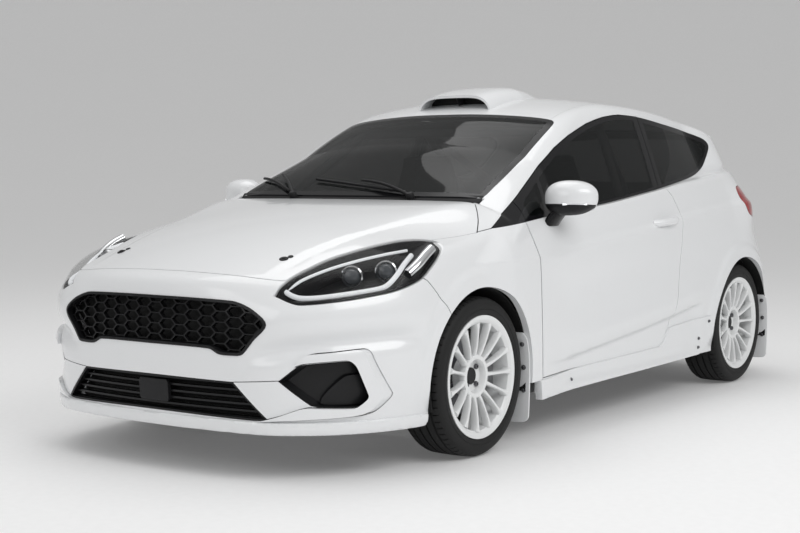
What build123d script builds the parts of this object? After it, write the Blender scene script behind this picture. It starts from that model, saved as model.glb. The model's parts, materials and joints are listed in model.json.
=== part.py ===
from build123d import *
from collections import namedtuple
from math import hypot, cos, sin, radians
import os

# Rally hatchback, three doors, on its wheels.
# Frame: +X forward, +Y left, +Z up, millimetres, origin on the ground under the middle of the car.

# Driving sizes
LENGTH = 4068.0
BODY_WIDTH = 1740.0
WHEELBASE = 2493.0
FRONT_OVERHANG = 900.0
FRONT_TRACK = 1524.0
REAR_TRACK = 1484.0
TYRE_RADIUS = 306.0
TYRE_WIDTH = 196.0
RIM_RADIUS = 235.0
SPOKES = 15
ROOF_HEIGHT = 1442.0
SIDE_WALL = 75.0
ROOF_WALL = 35.0
PANEL = 32.0
DECK_WALL = 26.0
DOOR_GAP = 8.0
LID_GAP = 6.0
GLASS_DEPTH = 3.0
GLASS_WALL = 6.0
SEAT_GAP = 0.4
ARCH_RADIUS = 342.0
WELL_RADIUS = 358.0
WELL_INNER_Y = 505.0
PIN_PLAY = 0.05

# Places that follow from them
FRONT_X = LENGTH / 2
REAR_X = -LENGTH / 2
HALF = BODY_WIDTH / 2
FRONT_AXLE_X = FRONT_X - FRONT_OVERHANG
REAR_AXLE_X = FRONT_AXLE_X - WHEELBASE
FRONT_WHEEL_Y = FRONT_TRACK / 2
REAR_WHEEL_Y = REAR_TRACK / 2
HUB_Z = TYRE_RADIUS
COWL_X = FRONT_X - 1208
FIREWALL_X = FRONT_X - 1294
FIREWALL = 25.0
FLOOR_Z = 190.0
FLOOR = 28.0
BOOT_FLOOR_Z = 400.0
TAIL_X = REAR_X + 529
DOOR_HINGE = (FRONT_X - 1322, HALF - 9)
DOOR_HINGE_ZS = (500.0, 690.0)
BONNET_HINGE = (FRONT_X - 1154, 895.0)
BONNET_REAR_X = BONNET_HINGE[0] + 5
TAIL_HINGE = (TAIL_X, 1338.0)
KINGPIN_LOW = (FRONT_WHEEL_Y - 62, 180.0)
KINGPIN_HIGH = (FRONT_WHEEL_Y - 202, 815.0)
WHEEL_CENTRE = (FRONT_X - 1720, 345.0, 770.0)
COLUMN_TILT = 25.0

# Body outline at one height: setbacks from the nose and the tail, tucks in from the widest half width
Section = namedtuple("Section", "z nose corner_back corner_tuck side_back side_tuck waist_tuck "
                                "hip_fwd hip_tuck tail_corner_fwd tail_corner_tuck tail")
LOWER_BODY = [
    Section(190, 22, 62, 380, 560, 40, 28, 560, 55, 80, 270, 55),
    Section(330, 10, 52, 390, 540, 25, 20, 580, 30, 50, 270, 10),
    Section(470, 10, 52, 380, 540, 18, 14, 590, 8, 45, 270, 4),
    Section(600, 16, 64, 370, 560, 15, 6, 600, 4, 90, 260, 40),
    Section(720, 42, 150, 350, 640, 25, 10, 620, 8, 140, 270, 90),
    Section(830, 125, 300, 310, 760, 55, 38, 640, 35, 190, 290, 145),
    Section(930, 250, 430, 310, 840, 85, 75, 660, 68, 240, 310, 190),
    Section(1080, 420, 560, 330, 900, 140, 135, 690, 135, 310, 330, 260),
]
GREENHOUSE = [
    Section(860, 1040, 1130, 210, 1310, 100, 78, 700, 108, 260, 310, 185),
    Section(1100, 1440, 1520, 280, 1720, 180, 165, 740, 200, 360, 360, 290),
    Section(1330, 1868, 1930, 330, 2110, 273, 258, 790, 300, 480, 400, 402),
    Section(1500, 2190, 2240, 380, 2420, 345, 330, 830, 375, 580, 450, 490),
]
CORNER_BULGE = 0.14
BELT_Z = 875.0
BELT_RISE = 0.0927
DECK_CENTRE = (FRONT_X - 1250.2, -1930.6)
DECK_RADIUS = 2900.0
DECK_CROWN = 3270.0
ROOF_X = REAR_X + 1614
ROOF_FRONT_RADIUS = 1600.0
ROOF_REAR_RADIUS = 5760.0
ROOF_CROWN = 3361.0


# Shared shaping helpers

def corner_arc(start, end):
    """Arc between two plan points that swells away from the middle of the car."""
    mid = ((start[0] + end[0]) / 2, (start[1] + end[1]) / 2)
    dx = end[0] - start[0]
    dy = end[1] - start[1]
    side = 1 if -dy * mid[0] + dx * mid[1] > 0 else -1
    crest = (mid[0] - side * dy * CORNER_BULGE, mid[1] + side * dx * CORNER_BULGE)
    return ThreePointArc(start, crest, end)


def outline(row, inset):
    """Plan face of the body at one height, moved in by inset."""
    nose = (FRONT_X - row.nose - inset, 0)
    corner = (FRONT_X - row.corner_back - 0.9 * inset, HALF - row.corner_tuck - 0.45 * inset)
    side = (FRONT_X - row.side_back - 0.2 * inset, HALF - row.side_tuck - inset)
    hip = (REAR_X + row.hip_fwd + 0.2 * inset, HALF - row.hip_tuck - inset)
    waist = ((side[0] + hip[0]) / 2, HALF - row.waist_tuck - inset)
    tail_corner = (REAR_X + row.tail_corner_fwd + 0.9 * inset, HALF - row.tail_corner_tuck - 0.45 * inset)
    tail = (REAR_X + row.tail + inset, 0)

    def over(point):
        return (point[0], -point[1])

    edges = [
        ThreePointArc(over(corner), nose, corner),
        corner_arc(corner, side),
        ThreePointArc(side, waist, hip),
        corner_arc(hip, tail_corner),
        ThreePointArc(tail_corner, tail, over(tail_corner)),
        corner_arc(over(tail_corner), over(hip)),
        ThreePointArc(over(hip), over(waist), over(side)),
        corner_arc(over(side), over(corner)),
    ]
    return Pos(0, 0, row.z) * make_face(edges)


def crowned_cap(centre_x, centre_z, radius, crown, start, stop):
    """Slab under a crowned surface turned about a cross axis, from start to stop degrees."""
    half = HALF + 90
    drop = crown - (crown ** 2 - half ** 2) ** 0.5
    profile = [
        ThreePointArc((-half, radius - drop), (0, radius), (half, radius - drop)),
        Line((half, radius - drop), (half, radius - 800)),
        Line((half, radius - 800), (-half, radius - 800)),
        Line((-half, radius - 800), (-half, radius - drop)),
    ]
    plane = Plane(origin=(centre_x, 0, centre_z), x_dir=(0, 1, 0), z_dir=(1, 0, 0))
    axis = Axis((centre_x, 0, centre_z), (0, 1, 0))
    return revolve(plane * make_face(profile), axis, stop - start).rotate(axis, start)


def side_prism(points, inner, outer):
    """Outline in X and Z, carried across from y = inner to y = outer."""
    plane = Plane(origin=(0, inner, 0), x_dir=(1, 0, 0), z_dir=(0, -1, 0))
    return extrude(plane * make_face(Polyline(*points, close=True)), inner - outer)


def front_prism(points, back, front):
    """Outline in Y and Z, carried from x = back to x = front."""
    plane = Plane(origin=(back, 0, 0), x_dir=(0, 1, 0), z_dir=(1, 0, 0))
    return extrude(plane * make_face(Polyline(*points, close=True)), front - back)


def side_fit(points, inner, outer, gap):
    """Side prism drawn in by a small fitting gap."""
    plane = Plane(origin=(0, inner, 0), x_dir=(1, 0, 0), z_dir=(0, -1, 0))
    return extrude(plane * offset(make_face(Polyline(*points, close=True)), -gap), inner - outer)


def front_fit(points, back, front, gap):
    """Front prism drawn in by a small fitting gap."""
    plane = Plane(origin=(back, 0, 0), x_dir=(0, 1, 0), z_dir=(1, 0, 0))
    return extrude(plane * offset(make_face(Polyline(*points, close=True)), -gap), front - back)


def plan_prism(points, low, high):
    """Outline in X and Y, carried from z = low to z = high."""
    return extrude(Pos(0, 0, low) * make_face(Polyline(*points, close=True)), high - low)


def block(x0, x1, y0, y1, z0, z1):
    return Pos((x0 + x1) / 2, (y0 + y1) / 2, (z0 + z1) / 2) * Box(x1 - x0, y1 - y0, z1 - z0)


def rod(start, end, radius):
    """Round bar between two points."""
    a = Vector(*start)
    b = Vector(*end)
    bar = Cylinder(radius, (b - a).length, align=(Align.CENTER, Align.CENTER, Align.MIN))
    return Plane(origin=a, z_dir=(b - a)) * bar


def bent_tube(points, radius):
    """Chain of round bars with a ball at every bend."""
    tube = rod(points[0], points[1], radius)
    for start, end in zip(points[1:], points[2:]):
        tube = tube + Pos(*start) * Sphere(radius) + rod(start, end, radius)
    return tube


def flip(shape):
    return mirror(shape, about=Plane.XZ)


def pair(shape):
    return Compound(children=[shape, flip(shape)])


def cross_drum(x, z, radius, inner, outer):
    """Cylinder lying across the car."""
    return Plane(origin=(x, inner, z), z_dir=(0, 1, 0)) * Cylinder(
        radius, outer - inner, align=(Align.CENTER, Align.CENTER, Align.MIN))


# Body volumes at any depth below the skin
body_cache = {}


def flank_volume(side):
    """Lower body without its deck, moved in by side."""
    if side not in body_cache:
        body_cache[side] = loft([outline(row, side) for row in LOWER_BODY])
    return body_cache[side]


def glass_volume(side):
    """Glasshouse alone, moved in by side all over."""
    return loft([outline(row, side) for row in GREENHOUSE]) & roof_slab(side)


def roof_slab(top):
    """Volume under the roof skin, moved down by top."""
    front = crowned_cap(ROOF_X, ROOF_HEIGHT - ROOF_FRONT_RADIUS, ROOF_FRONT_RADIUS - top, ROOF_CROWN, 0, 40)
    rear = crowned_cap(ROOF_X, ROOF_HEIGHT - ROOF_REAR_RADIUS, ROOF_REAR_RADIUS - top, ROOF_CROWN, -19, 0)
    return front + rear


def body_volume(side, top):
    """Whole body volume, moved in by side at the flanks and by top at the deck and the roof."""
    if (side, top) in body_cache:
        return body_cache[(side, top)]
    lower = loft([outline(row, side) for row in LOWER_BODY])
    deck = crowned_cap(DECK_CENTRE[0], DECK_CENTRE[1], DECK_RADIUS - top, DECK_CROWN, -6, 32)
    lower = lower - (block(COWL_X, FRONT_X + 340, -HALF - 200, HALF + 200, 550, 1450) - deck)
    belt = [(COWL_X, BELT_Z), (REAR_X - 300, BELT_Z + BELT_RISE * (COWL_X - REAR_X + 300)),
            (REAR_X - 300, 1400), (COWL_X, 1400)]
    lower = lower - side_prism(belt, -HALF - 300, HALF + 300)
    glasshouse = loft([outline(row, side) for row in GREENHOUSE])
    body_cache[(side, top)] = lower + (glasshouse & roof_slab(top))
    return body_cache[(side, top)]


outer = body_volume(0, 0)
cabin = body_volume(SIDE_WALL, ROOF_WALL)
wall_shell = outer - cabin
panel_core = body_volume(PANEL, DECK_WALL)
panel_shell = outer - panel_core

# Wheel openings, wider behind the fender lip so that a steered wheel stays clear
arch_parts = []
for axle_x, lip in ((FRONT_AXLE_X, HALF - 78), (REAR_AXLE_X, HALF - 80)):
    for turn in (1, -1):
        drum = cross_drum(axle_x, HUB_Z, ARCH_RADIUS, min(turn * lip, turn * 1200), max(turn * lip, turn * 1200))
        well = cross_drum(axle_x, HUB_Z, WELL_RADIUS, min(turn * WELL_INNER_Y, turn * lip),
                          max(turn * WELL_INNER_Y, turn * lip))
        arch_parts.append(drum + well)
arches = arch_parts[0] + arch_parts[1] + arch_parts[2] + arch_parts[3]
wall_shell = wall_shell - arches
panel_shell = panel_shell - arches

# Cut lines of the outer panels, in plan for the bonnet and the screen, from the side for the rest
bonnet_line = [(BONNET_REAR_X, 700), (FRONT_X - 560, 655), (FRONT_X - 150, 475), (FRONT_X - 100, 330),
               (FRONT_X - 75, 0), (FRONT_X - 100, -330), (FRONT_X - 150, -475), (FRONT_X - 560, -655),
               (BONNET_REAR_X, -700)]
bonnet_hole = [(COWL_X, 706), (FRONT_X - 558, 662), (FRONT_X - 144, 480), (FRONT_X - 93, 333),
               (FRONT_X - 68, 0), (FRONT_X - 93, -333), (FRONT_X - 144, -480), (FRONT_X - 558, -662),
               (COWL_X, -706)]
screen_line = [(COWL_X, 668), (COWL_X - 726, 578), (COWL_X - 714, 300), (COWL_X - 708, 0),
               (COWL_X - 714, -300), (COWL_X - 726, -578), (COWL_X, -668)]
lamp_line = [(FRONT_X - 104, 658), (FRONT_X - 131, 622), (FRONT_X - 227, 640), (FRONT_X - 347, 664),
             (FRONT_X - 446, 681), (FRONT_X - 523, 700), (FRONT_X - 614, 745), (FRONT_X - 754, 800),
             (FRONT_X - 772, 815), (FRONT_X - 704, 840), (FRONT_X - 560, 850), (FRONT_X - 440, 835),
             (FRONT_X - 342, 800), (FRONT_X - 259, 762), (FRONT_X - 174, 716), (FRONT_X - 138, 686)]
bumper_line = [(FRONT_X + 60, 100), (FRONT_X + 60, 790), (FRONT_X - 300, 790), (FRONT_X - 525, 700),
               (FRONT_X - 690, 560), (FRONT_X - 690, 100)]
rear_bumper_line = [(REAR_X - 60, 100), (REAR_X - 60, 660), (REAR_X + 300, 660), (REAR_X + 434, 560),
                    (REAR_X + 434, 100)]
fender_back = [(FRONT_X - 1336, 246), (FRONT_X - 1325, 546), (FRONT_X - 1287, 873), (FRONT_X - 1270, 960),
               (FRONT_X - 600, 960), (FRONT_X - 600, 246)]
lamp_inner_y = HALF - 400

bonnet_block = plan_prism(bonnet_hole, 560, 1100)
lamp_block = side_prism(lamp_line, lamp_inner_y, HALF + 200)
lamp_blocks = lamp_block + flip(lamp_block)
screen_block = plan_prism(screen_line, 880, 1500)

# Front bumper with the grille, intake and fog lamp openings
GRILLE_LINE = [(498, 552), (446, 592), (372, 622), (170, 630), (0, 632), (-170, 630), (-372, 622), (-446, 592),
               (-498, 552), (-440, 497), (-400, 450), (-318, 446), (-272, 464), (0, 466), (272, 464),
               (318, 446), (400, 450), (440, 497)]
INTAKE_LINE = [(372, 345), (496, 218), (0, 222), (-496, 218), (-372, 345), (0, 349)]
FOG_OUTER = [(537, 355), (600, 418), (690, 458), (751, 468), (785, 388), (801, 302), (790, 268), (755, 232),
             (640, 228), (575, 268)]
FOG_INNER = [(575, 352), (620, 405), (685, 425), (735, 428), (757, 345), (766, 294), (750, 268), (640, 266),
             (596, 290)]
grille_block = front_prism(GRILLE_LINE, FRONT_X - 300, FRONT_X + 50)
intake_block = front_prism(INTAKE_LINE, FRONT_X - 300, FRONT_X + 50)
fog_block = front_prism(FOG_OUTER, FRONT_X - 420, FRONT_X + 50)
fog_hole = front_prism(FOG_INNER, FRONT_X - 420, FRONT_X + 50)
bumper_block = side_prism(bumper_line, -HALF - 100, HALF + 100)
front_bumper = (panel_shell & bumper_block) - bonnet_block - lamp_blocks - grille_block - intake_block
front_bumper = front_bumper - fog_block - flip(fog_block)

# Honeycomb mesh that follows the curve of the bumper, and the slats under it
HEX_ACROSS = 40.0
HEX_BAR = 6.0
mesh_zone = front_fit(GRILLE_LINE, FRONT_X - 300, FRONT_X + 50, SEAT_GAP)
upper_mesh = (flank_volume(14) & mesh_zone) - flank_volume(30)
pitch_z = HEX_ACROSS * 0.75 ** 0.5
cell_face = RegularPolygon((HEX_ACROSS - HEX_BAR) / 2, 6, major_radius=False, rotation=30)
hole_plane = Plane(origin=(FRONT_X - 200, 0, 0), x_dir=(0, 1, 0), z_dir=(1, 0, 0))
hole_bars = []
for row, reach in ((-2, 396), (-1, 420), (0, 450), (1, 424), (2, 356)):
    for column in range(-12, 13):
        y = (column + 0.5 * (row % 2)) * HEX_ACROSS
        if abs(y) < reach and not (row == -2 and abs(y) < 300):
            hole_bars.append(extrude(hole_plane * (Pos(y, 545 + row * pitch_z) * cell_face), 260))
upper_mesh = upper_mesh - hole_bars
intake_zone = front_fit(INTAKE_LINE, FRONT_X - 300, FRONT_X + 50, SEAT_GAP)
slats = (flank_volume(10) & intake_zone) - flank_volume(30)
for low in (231, 258, 285, 312):
    slot = front_prism([(62, low), (478 - (low - 222), low), (458 - (low - 222), low + 19), (62, low + 19)],
                       FRONT_X - 200, FRONT_X + 50)
    slats = slats - slot - flip(slot)
grilles = Compound(children=[upper_mesh, slats])

bezel_zone = front_fit(FOG_OUTER, FRONT_X - 420, FRONT_X + 50, SEAT_GAP)
bezel = ((flank_volume(0) & bezel_zone) - flank_volume(PANEL)) - (fog_hole - flank_volume(24)) - arches
fog_lamp_bezels = pair(bezel)

# Splitter under the bumper
lip_plan = [(FRONT_X, 0), (FRONT_X - 8, 200), (FRONT_X - 26, 380), (FRONT_X - 70, 520), (FRONT_X - 150, 640),
            (FRONT_X - 290, 745), (FRONT_X - 430, 815), (FRONT_X - 545, 832), (FRONT_X - 560, 800),
            (FRONT_X - 470, 560), (FRONT_X - 420, 0)]
lip_plan = lip_plan + [(x, -y) for x, y in lip_plan[-2:0:-1]]
lip_side = [(FRONT_X + 10, 172), (FRONT_X + 10, FLOOR_Z), (FRONT_X - 600, FLOOR_Z), (FRONT_X - 600, 148)]
front_splitter = plan_prism(lip_plan, 140, 200) & side_prism(lip_side, -HALF - 50, HALF + 50)
front_splitter = front_splitter - arches

# Fenders, then the lamps that sit between fender, bonnet and bumper
fender = (panel_shell & side_prism(fender_back, 300, HALF + 100)) - bonnet_block - lamp_blocks - bumper_block
fender = fender & block(FRONT_X - 1400, FRONT_X, 300, HALF + 100, 246, 1000)
glass_nose = loft([outline(row, -0.4) for row in GREENHOUSE])
fender = fender - (glass_nose & block(FRONT_X - 1400, COWL_X + 0.4, -HALF, HALF, BELT_Z, 1500))
hinge_pockets = [block(DOOR_HINGE[0] - 14, DOOR_HINGE[0] + 30, DOOR_HINGE[1] - 45, HALF + 60, z - 22, z + 46)
                 for z in DOOR_HINGE_ZS]
for pocket in hinge_pockets:
    fender = fender - pocket
front_fenders = pair(fender)

lamp_fit = side_fit(lamp_line, lamp_inner_y + SEAT_GAP, HALF + 200, SEAT_GAP)
lens = ((outer - body_volume(5, 5)) & lamp_fit) - arches
bowl = (body_volume(5.4, 5.4) & lamp_fit) - flank_volume(95)
bowl_room = side_prism([(FRONT_X - 165, 668), (FRONT_X - 347, 678), (FRONT_X - 520, 712), (FRONT_X - 640, 770),
                        (FRONT_X - 560, 800), (FRONT_X - 440, 790), (FRONT_X - 342, 765), (FRONT_X - 220, 716)],
                       lamp_inner_y + 8, HALF + 200)
bowl = bowl - (bowl_room - flank_volume(80))
bowl = bowl - arches
headlight_lenses = pair(lens)
headlight_housings = pair(bowl)

# Bonnet with its two hinge ears
bonnet = (outer - body_volume(60, DECK_WALL)) & plan_prism(bonnet_line, 560, 1100)
lamp_clear = side_fit(lamp_line, lamp_inner_y - LID_GAP, HALF + 200, -LID_GAP)
bonnet = bonnet - lamp_clear - flip(lamp_clear) - block(FRONT_X - 1400, FRONT_X, -HALF, HALF, 0, 640)
BONNET_EAR_Y = 300.0
ear_profile = [(BONNET_REAR_X - 14, 883), (BONNET_REAR_X + 24, 883), (BONNET_REAR_X + 60, 930),
               (BONNET_REAR_X + 60, 960), (BONNET_REAR_X + 8, 960)]
ear = side_prism(ear_profile, BONNET_EAR_Y, BONNET_EAR_Y + 14) & body_volume(2, 2)
ear = ear + cross_drum(BONNET_HINGE[0], BONNET_HINGE[1], 11, BONNET_EAR_Y, BONNET_EAR_Y + 14)
ear_bore = cross_drum(BONNET_HINGE[0], BONNET_HINGE[1], 5 + PIN_PLAY, BONNET_EAR_Y - 1, BONNET_EAR_Y + 15)
bonnet = bonnet + ear + flip(ear)
bonnet = bonnet - ear_bore - flip(ear_bore)

# Screen, cowl tray and the tray's hinge brackets
glass_skin = glass_volume(GLASS_DEPTH) - glass_volume(GLASS_DEPTH + GLASS_WALL)
screen_inset = [(x + (-0.4 if x > FRONT_X - 1500 else 0.4), y * 0.9993) for x, y in screen_line]
screen_fit = plan_prism(screen_inset, 880, 1500)
windscreen = glass_skin & screen_fit
glass_under = glass_volume(GLASS_DEPTH + GLASS_WALL + SEAT_GAP)
cowl_profile = [(FIREWALL_X, 860), (BONNET_HINGE[0] - 14, 860), (BONNET_HINGE[0] - 14, 872), (COWL_X - 12, 872),
                (COWL_X - 12, 990), (FIREWALL_X + 45, 990), (FIREWALL_X + 45, 872), (FIREWALL_X, 872)]
cowl = side_prism(cowl_profile, -662, 662) & flank_volume(SIDE_WALL + SEAT_GAP)
cowl = cowl - (block(FIREWALL_X - 10, BONNET_HINGE[0], -HALF, HALF, 874, 1100) - glass_under)
for low in (BONNET_EAR_Y - 14, BONNET_EAR_Y + 15):
    bracket = side_prism([(BONNET_HINGE[0] - 30, 866), (BONNET_HINGE[0] - 30, 880), (BONNET_HINGE[0] - 11, 905),
                          (BONNET_HINGE[0] + 11, 905), (BONNET_HINGE[0] + 11, 866)], low, low + 13)
    cowl = cowl + bracket + flip(bracket)
cowl = cowl + side_prism([(BONNET_HINGE[0] - 30, 860), (BONNET_HINGE[0] + 11, 860), (BONNET_HINGE[0] + 11, 870),
                          (BONNET_HINGE[0] - 30, 870)], -BONNET_EAR_Y - 28, BONNET_EAR_Y + 28)
hinge_pin = cross_drum(BONNET_HINGE[0], BONNET_HINGE[1], 5, BONNET_EAR_Y - 10, BONNET_EAR_Y + 24)
cowl = cowl + hinge_pin + flip(hinge_pin)

# Roof skin and the scoop on it
roof_line = [(COWL_X - 690, 542), (TAIL_X + 2, 505), (TAIL_X + 2, -505), (COWL_X - 690, -542)]
roof_zone = plan_prism(roof_line, 1150, 1500) - screen_block
roof_panel = (outer & roof_zone) - roof_slab(ROOF_WALL)
roof_under = body_volume(-0.3, -0.3)
SCOOP_X = ROOF_X + 460
scoop_side = [(SCOOP_X, 1380), (SCOOP_X + 8, 1448), (SCOOP_X - 180, 1474), (SCOOP_X - 330, 1480),
              (SCOOP_X - 480, 1462), (SCOOP_X - 600, 1430), (SCOOP_X - 600, 1380)]
scoop_plan = [(SCOOP_X + 20, 200), (SCOOP_X - 300, 205), (SCOOP_X - 520, 180), (SCOOP_X - 600, 120),
              (SCOOP_X - 600, -120), (SCOOP_X - 520, -180), (SCOOP_X - 300, -205), (SCOOP_X + 20, -200)]
roof_vent = (side_prism(scoop_side, -260, 260) & plan_prism(scoop_plan, 1300, 1520)) - roof_under
mouth = block(SCOOP_X - 110, SCOOP_X + 40, 8, 188, 1407, 1442)
roof_vent = roof_vent - mouth - flip(mouth)

# Doors: the rear edge is turned about the hinge so that it swings clear
DoorEdge = namedtuple("DoorEdge", "z x y")
DOOR_REAR = [
    DoorEdge(240, REAR_X + 1560, HALF - 24),
    DoorEdge(283, REAR_X + 1560, HALF - 22),
    DoorEdge(360, REAR_X + 1512, HALF - 18),
    DoorEdge(435, REAR_X + 1482, HALF - 12),
    DoorEdge(601, REAR_X + 1437, HALF - 4),
    DoorEdge(784, REAR_X + 1377, HALF - 26),
    DoorEdge(885, REAR_X + 1344, HALF - 70),
    DoorEdge(1000, REAR_X + 1362, HALF - 120),
    DoorEdge(1335, REAR_X + 1379, HALF - 258),
    DoorEdge(1400, REAR_X + 1379, HALF - 285),
]
DOOR_LINE = [(FRONT_X - 1344, 256), (FRONT_X - 1340, 400), (FRONT_X - 1332, 546), (FRONT_X - 1318, 691),
             (FRONT_X - 1306, 800), (FRONT_X - 1294, 873), (FRONT_X - 1340, 1004), (FRONT_X - 1500, 1084),
             (FRONT_X - 1650, 1150), (FRONT_X - 1795, 1208), (FRONT_X - 2000, 1274), (FRONT_X - 2195, 1320),
             (FRONT_X - 2390, 1346), (FRONT_X - 2570, 1347), (FRONT_X - 2760, 1336), (FRONT_X - 2760, 268)]


def door_zone(gap):
    """Volume swept by the door outline: straight at front, top and sill, turned about the hinge at the rear."""
    face = offset(make_face(Polyline(*DOOR_LINE, close=True)), gap) if gap else make_face(
        Polyline(*DOOR_LINE, close=True))
    plane = Plane(origin=(0, 300, 0), x_dir=(1, 0, 0), z_dir=(0, -1, 0))
    prism = extrude(plane * face, -800)
    radii = [(hypot(edge.x - DOOR_HINGE[0], edge.y - DOOR_HINGE[1]) + gap, edge.z) for edge in DOOR_REAR]
    profile = Polyline((0, 240 - gap), *[(r, z) for r, z in radii], (0, 1400), close=True)
    turn_plane = Plane(origin=(DOOR_HINGE[0], DOOR_HINGE[1], 0), x_dir=(-1, 0, 0), z_dir=(0, 1, 0))
    drum = revolve(turn_plane * make_face(profile), Axis((DOOR_HINGE[0], DOOR_HINGE[1], 0), (0, 0, 1)), 360)
    pillar = offset(make_face(Polyline(*screen_line, close=True)), 56 - gap)
    return (prism & drum) - extrude(Pos(0, 0, 950) * pillar, 550)


WINDOW_LINE = [(FRONT_X - 1345, 910), (FRONT_X - 1400, 985), (FRONT_X - 1520, 1042), (FRONT_X - 1650, 1102),
               (FRONT_X - 1795, 1162), (FRONT_X - 2000, 1230), (FRONT_X - 2195, 1276), (FRONT_X - 2390, 1302),
               (FRONT_X - 2560, 1303), (FRONT_X - 2612, 1296), (FRONT_X - 2575, 1030), (FRONT_X - 2560, 1005),
               (FRONT_X - 2480, 986), (FRONT_X - 2064, 942), (FRONT_X - 1700, 914)]
door = wall_shell & door_zone(0)
window_block = side_prism(WINDOW_LINE, 300, HALF + 100)
door = door - window_block
window_fit = side_fit(WINDOW_LINE, 300, HALF + 100, SEAT_GAP)
door_glass = (glass_skin & window_fit) & door_zone(-4)
opening = door_zone(DOOR_GAP)

# Hinge leaves: the door carries the eye, the pillar carries the pin
door_leaf_parts = []
body_leaf_parts = []
pin_holes = []
for z in DOOR_HINGE_ZS:
    hx, hy = DOOR_HINGE
    eye = Pos(hx, hy, z + 10) * Cylinder(7, 20)
    arm = block(hx - 30, hx, hy - 40, hy + 2, z, z + 20)
    door_leaf_parts.append(arm + eye)
    pin_holes.append(Pos(hx, hy, z + 10) * Cylinder(3 + PIN_PLAY, 60))
    pin = Pos(hx, hy, z + 10) * Cylinder(3, 48)
    for low in (z - 14, z + 21):
        pin = pin + block(hx - 5, hx + 26, hy - 74, hy + 4, low, low + 13)
    body_leaf_parts.append(pin)
door_clear = [block(DOOR_HINGE[0] - 14, DOOR_HINGE[0] + 40, DOOR_HINGE[1] - 92, HALF + 60, z - 22, z + 46)
              for z in DOOR_HINGE_ZS]
for clear in door_clear:
    door = door - clear
for leaf in door_leaf_parts:
    door = door + leaf
for hole in pin_holes:
    door = door - hole

# Mirror on the door
MIRROR_X = FRONT_X - 1540
head = loft([Plane(origin=(MIRROR_X, y, 973), x_dir=(1, 0, 0), z_dir=(0, 1, 0))
             * RectangleRounded(length, height, radius)
             for y, length, height, radius in ((HALF - 70, 92, 84, 34), (HALF - 10, 122, 126, 42),
                                               (HALF + 60, 112, 118, 42), (HALF + 98, 70, 72, 30))])
foot_top = Pos(MIRROR_X + 6, HALF - 40, 930) * RectangleRounded(70, 40, 12)
foot_base = Pos(MIRROR_X + 16, HALF - 70, 855) * RectangleRounded(90, 40, 12)
foot = loft([foot_top, foot_base])
door_mirror = (head + foot) - body_volume(-0.3, -0.3)
mirror_solids = sorted(door_mirror.solids(), key=lambda s: s.volume)
door_mirror = mirror_solids[-1]

# Tailgate: its edges are turned about the roof hinge
TailEdge = namedtuple("TailEdge", "reach half_width")
TAIL_EDGE = [
    TailEdge(0, 440),
    TailEdge(100, 470),
    TailEdge(300, 556),
    TailEdge(430, 578),
    TailEdge(560, 560),
    TailEdge(700, 520),
    TailEdge(826, 470),
]


def tail_zone(gap):
    """Volume of the tailgate outline turned about its hinge."""
    right = [(edge.reach if edge.reach < 800 else edge.reach + gap, edge.half_width + gap) for edge in TAIL_EDGE]
    left = [(r, -y) for r, y in reversed(right)]
    plane = Plane(origin=(TAIL_HINGE[0], 0, TAIL_HINGE[1]), x_dir=(-1, 0, 0), z_dir=(0, 0, 1))
    face = plane * make_face(Polyline(*right, *left, close=True))
    drum = revolve(face, Axis((TAIL_HINGE[0], 0, TAIL_HINGE[1]), (0, 1, 0)), 360)
    return drum & block(REAR_X - 200, TAIL_HINGE[0] - 6 + gap, -HALF, HALF, 500, 1600)


tailgate = wall_shell & tail_zone(0)
tail_opening = tail_zone(DOOR_GAP)
REAR_GLASS = [(440, 1285), (525, 1020), (470, 1000), (0, 992), (-470, 1000), (-525, 1020), (-440, 1285), (0, 1302)]
rear_glass_block = front_prism(REAR_GLASS, REAR_X - 100, TAIL_X - 20)
tailgate = tailgate - rear_glass_block
rear_glass_fit = front_fit(REAR_GLASS, REAR_X - 100, TAIL_X - 20, SEAT_GAP)
rear_window = glass_skin & rear_glass_fit
TAIL_EAR_Y = 110.0
tail_eye = cross_drum(TAIL_HINGE[0], TAIL_HINGE[1], 8, TAIL_EAR_Y, TAIL_EAR_Y + 16)
tail_eye = tail_eye + block(TAIL_HINGE[0] - 30, TAIL_HINGE[0], TAIL_EAR_Y, TAIL_EAR_Y + 16,
                            TAIL_HINGE[1] - 26, TAIL_HINGE[1] - 2)
tail_bore = cross_drum(TAIL_HINGE[0], TAIL_HINGE[1], 4 + PIN_PLAY, TAIL_EAR_Y - 5, TAIL_EAR_Y + 21)
roof_notch = block(TAIL_HINGE[0] - 16, TAIL_HINGE[0] + 16, TAIL_EAR_Y - 20, TAIL_EAR_Y + 36,
                   TAIL_HINGE[1] - 60, TAIL_HINGE[1] + 40)
tailgate = tailgate - roof_notch - flip(roof_notch)
tailgate = tailgate + tail_eye + flip(tail_eye)
tailgate = tailgate - tail_bore - flip(tail_bore)
roof_panel = roof_panel - roof_notch - flip(roof_notch)
for low in (TAIL_EAR_Y - 14, TAIL_EAR_Y + 17):
    lug = block(TAIL_HINGE[0] - 7, TAIL_HINGE[0] + 30, low, low + 13, TAIL_HINGE[1] - 24, TAIL_HINGE[1] + 4)
    roof_panel = roof_panel + lug + flip(lug)
tail_pin = cross_drum(TAIL_HINGE[0], TAIL_HINGE[1], 4, TAIL_EAR_Y - 10, TAIL_EAR_Y + 26)
roof_panel = roof_panel + tail_pin + flip(tail_pin)

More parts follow.
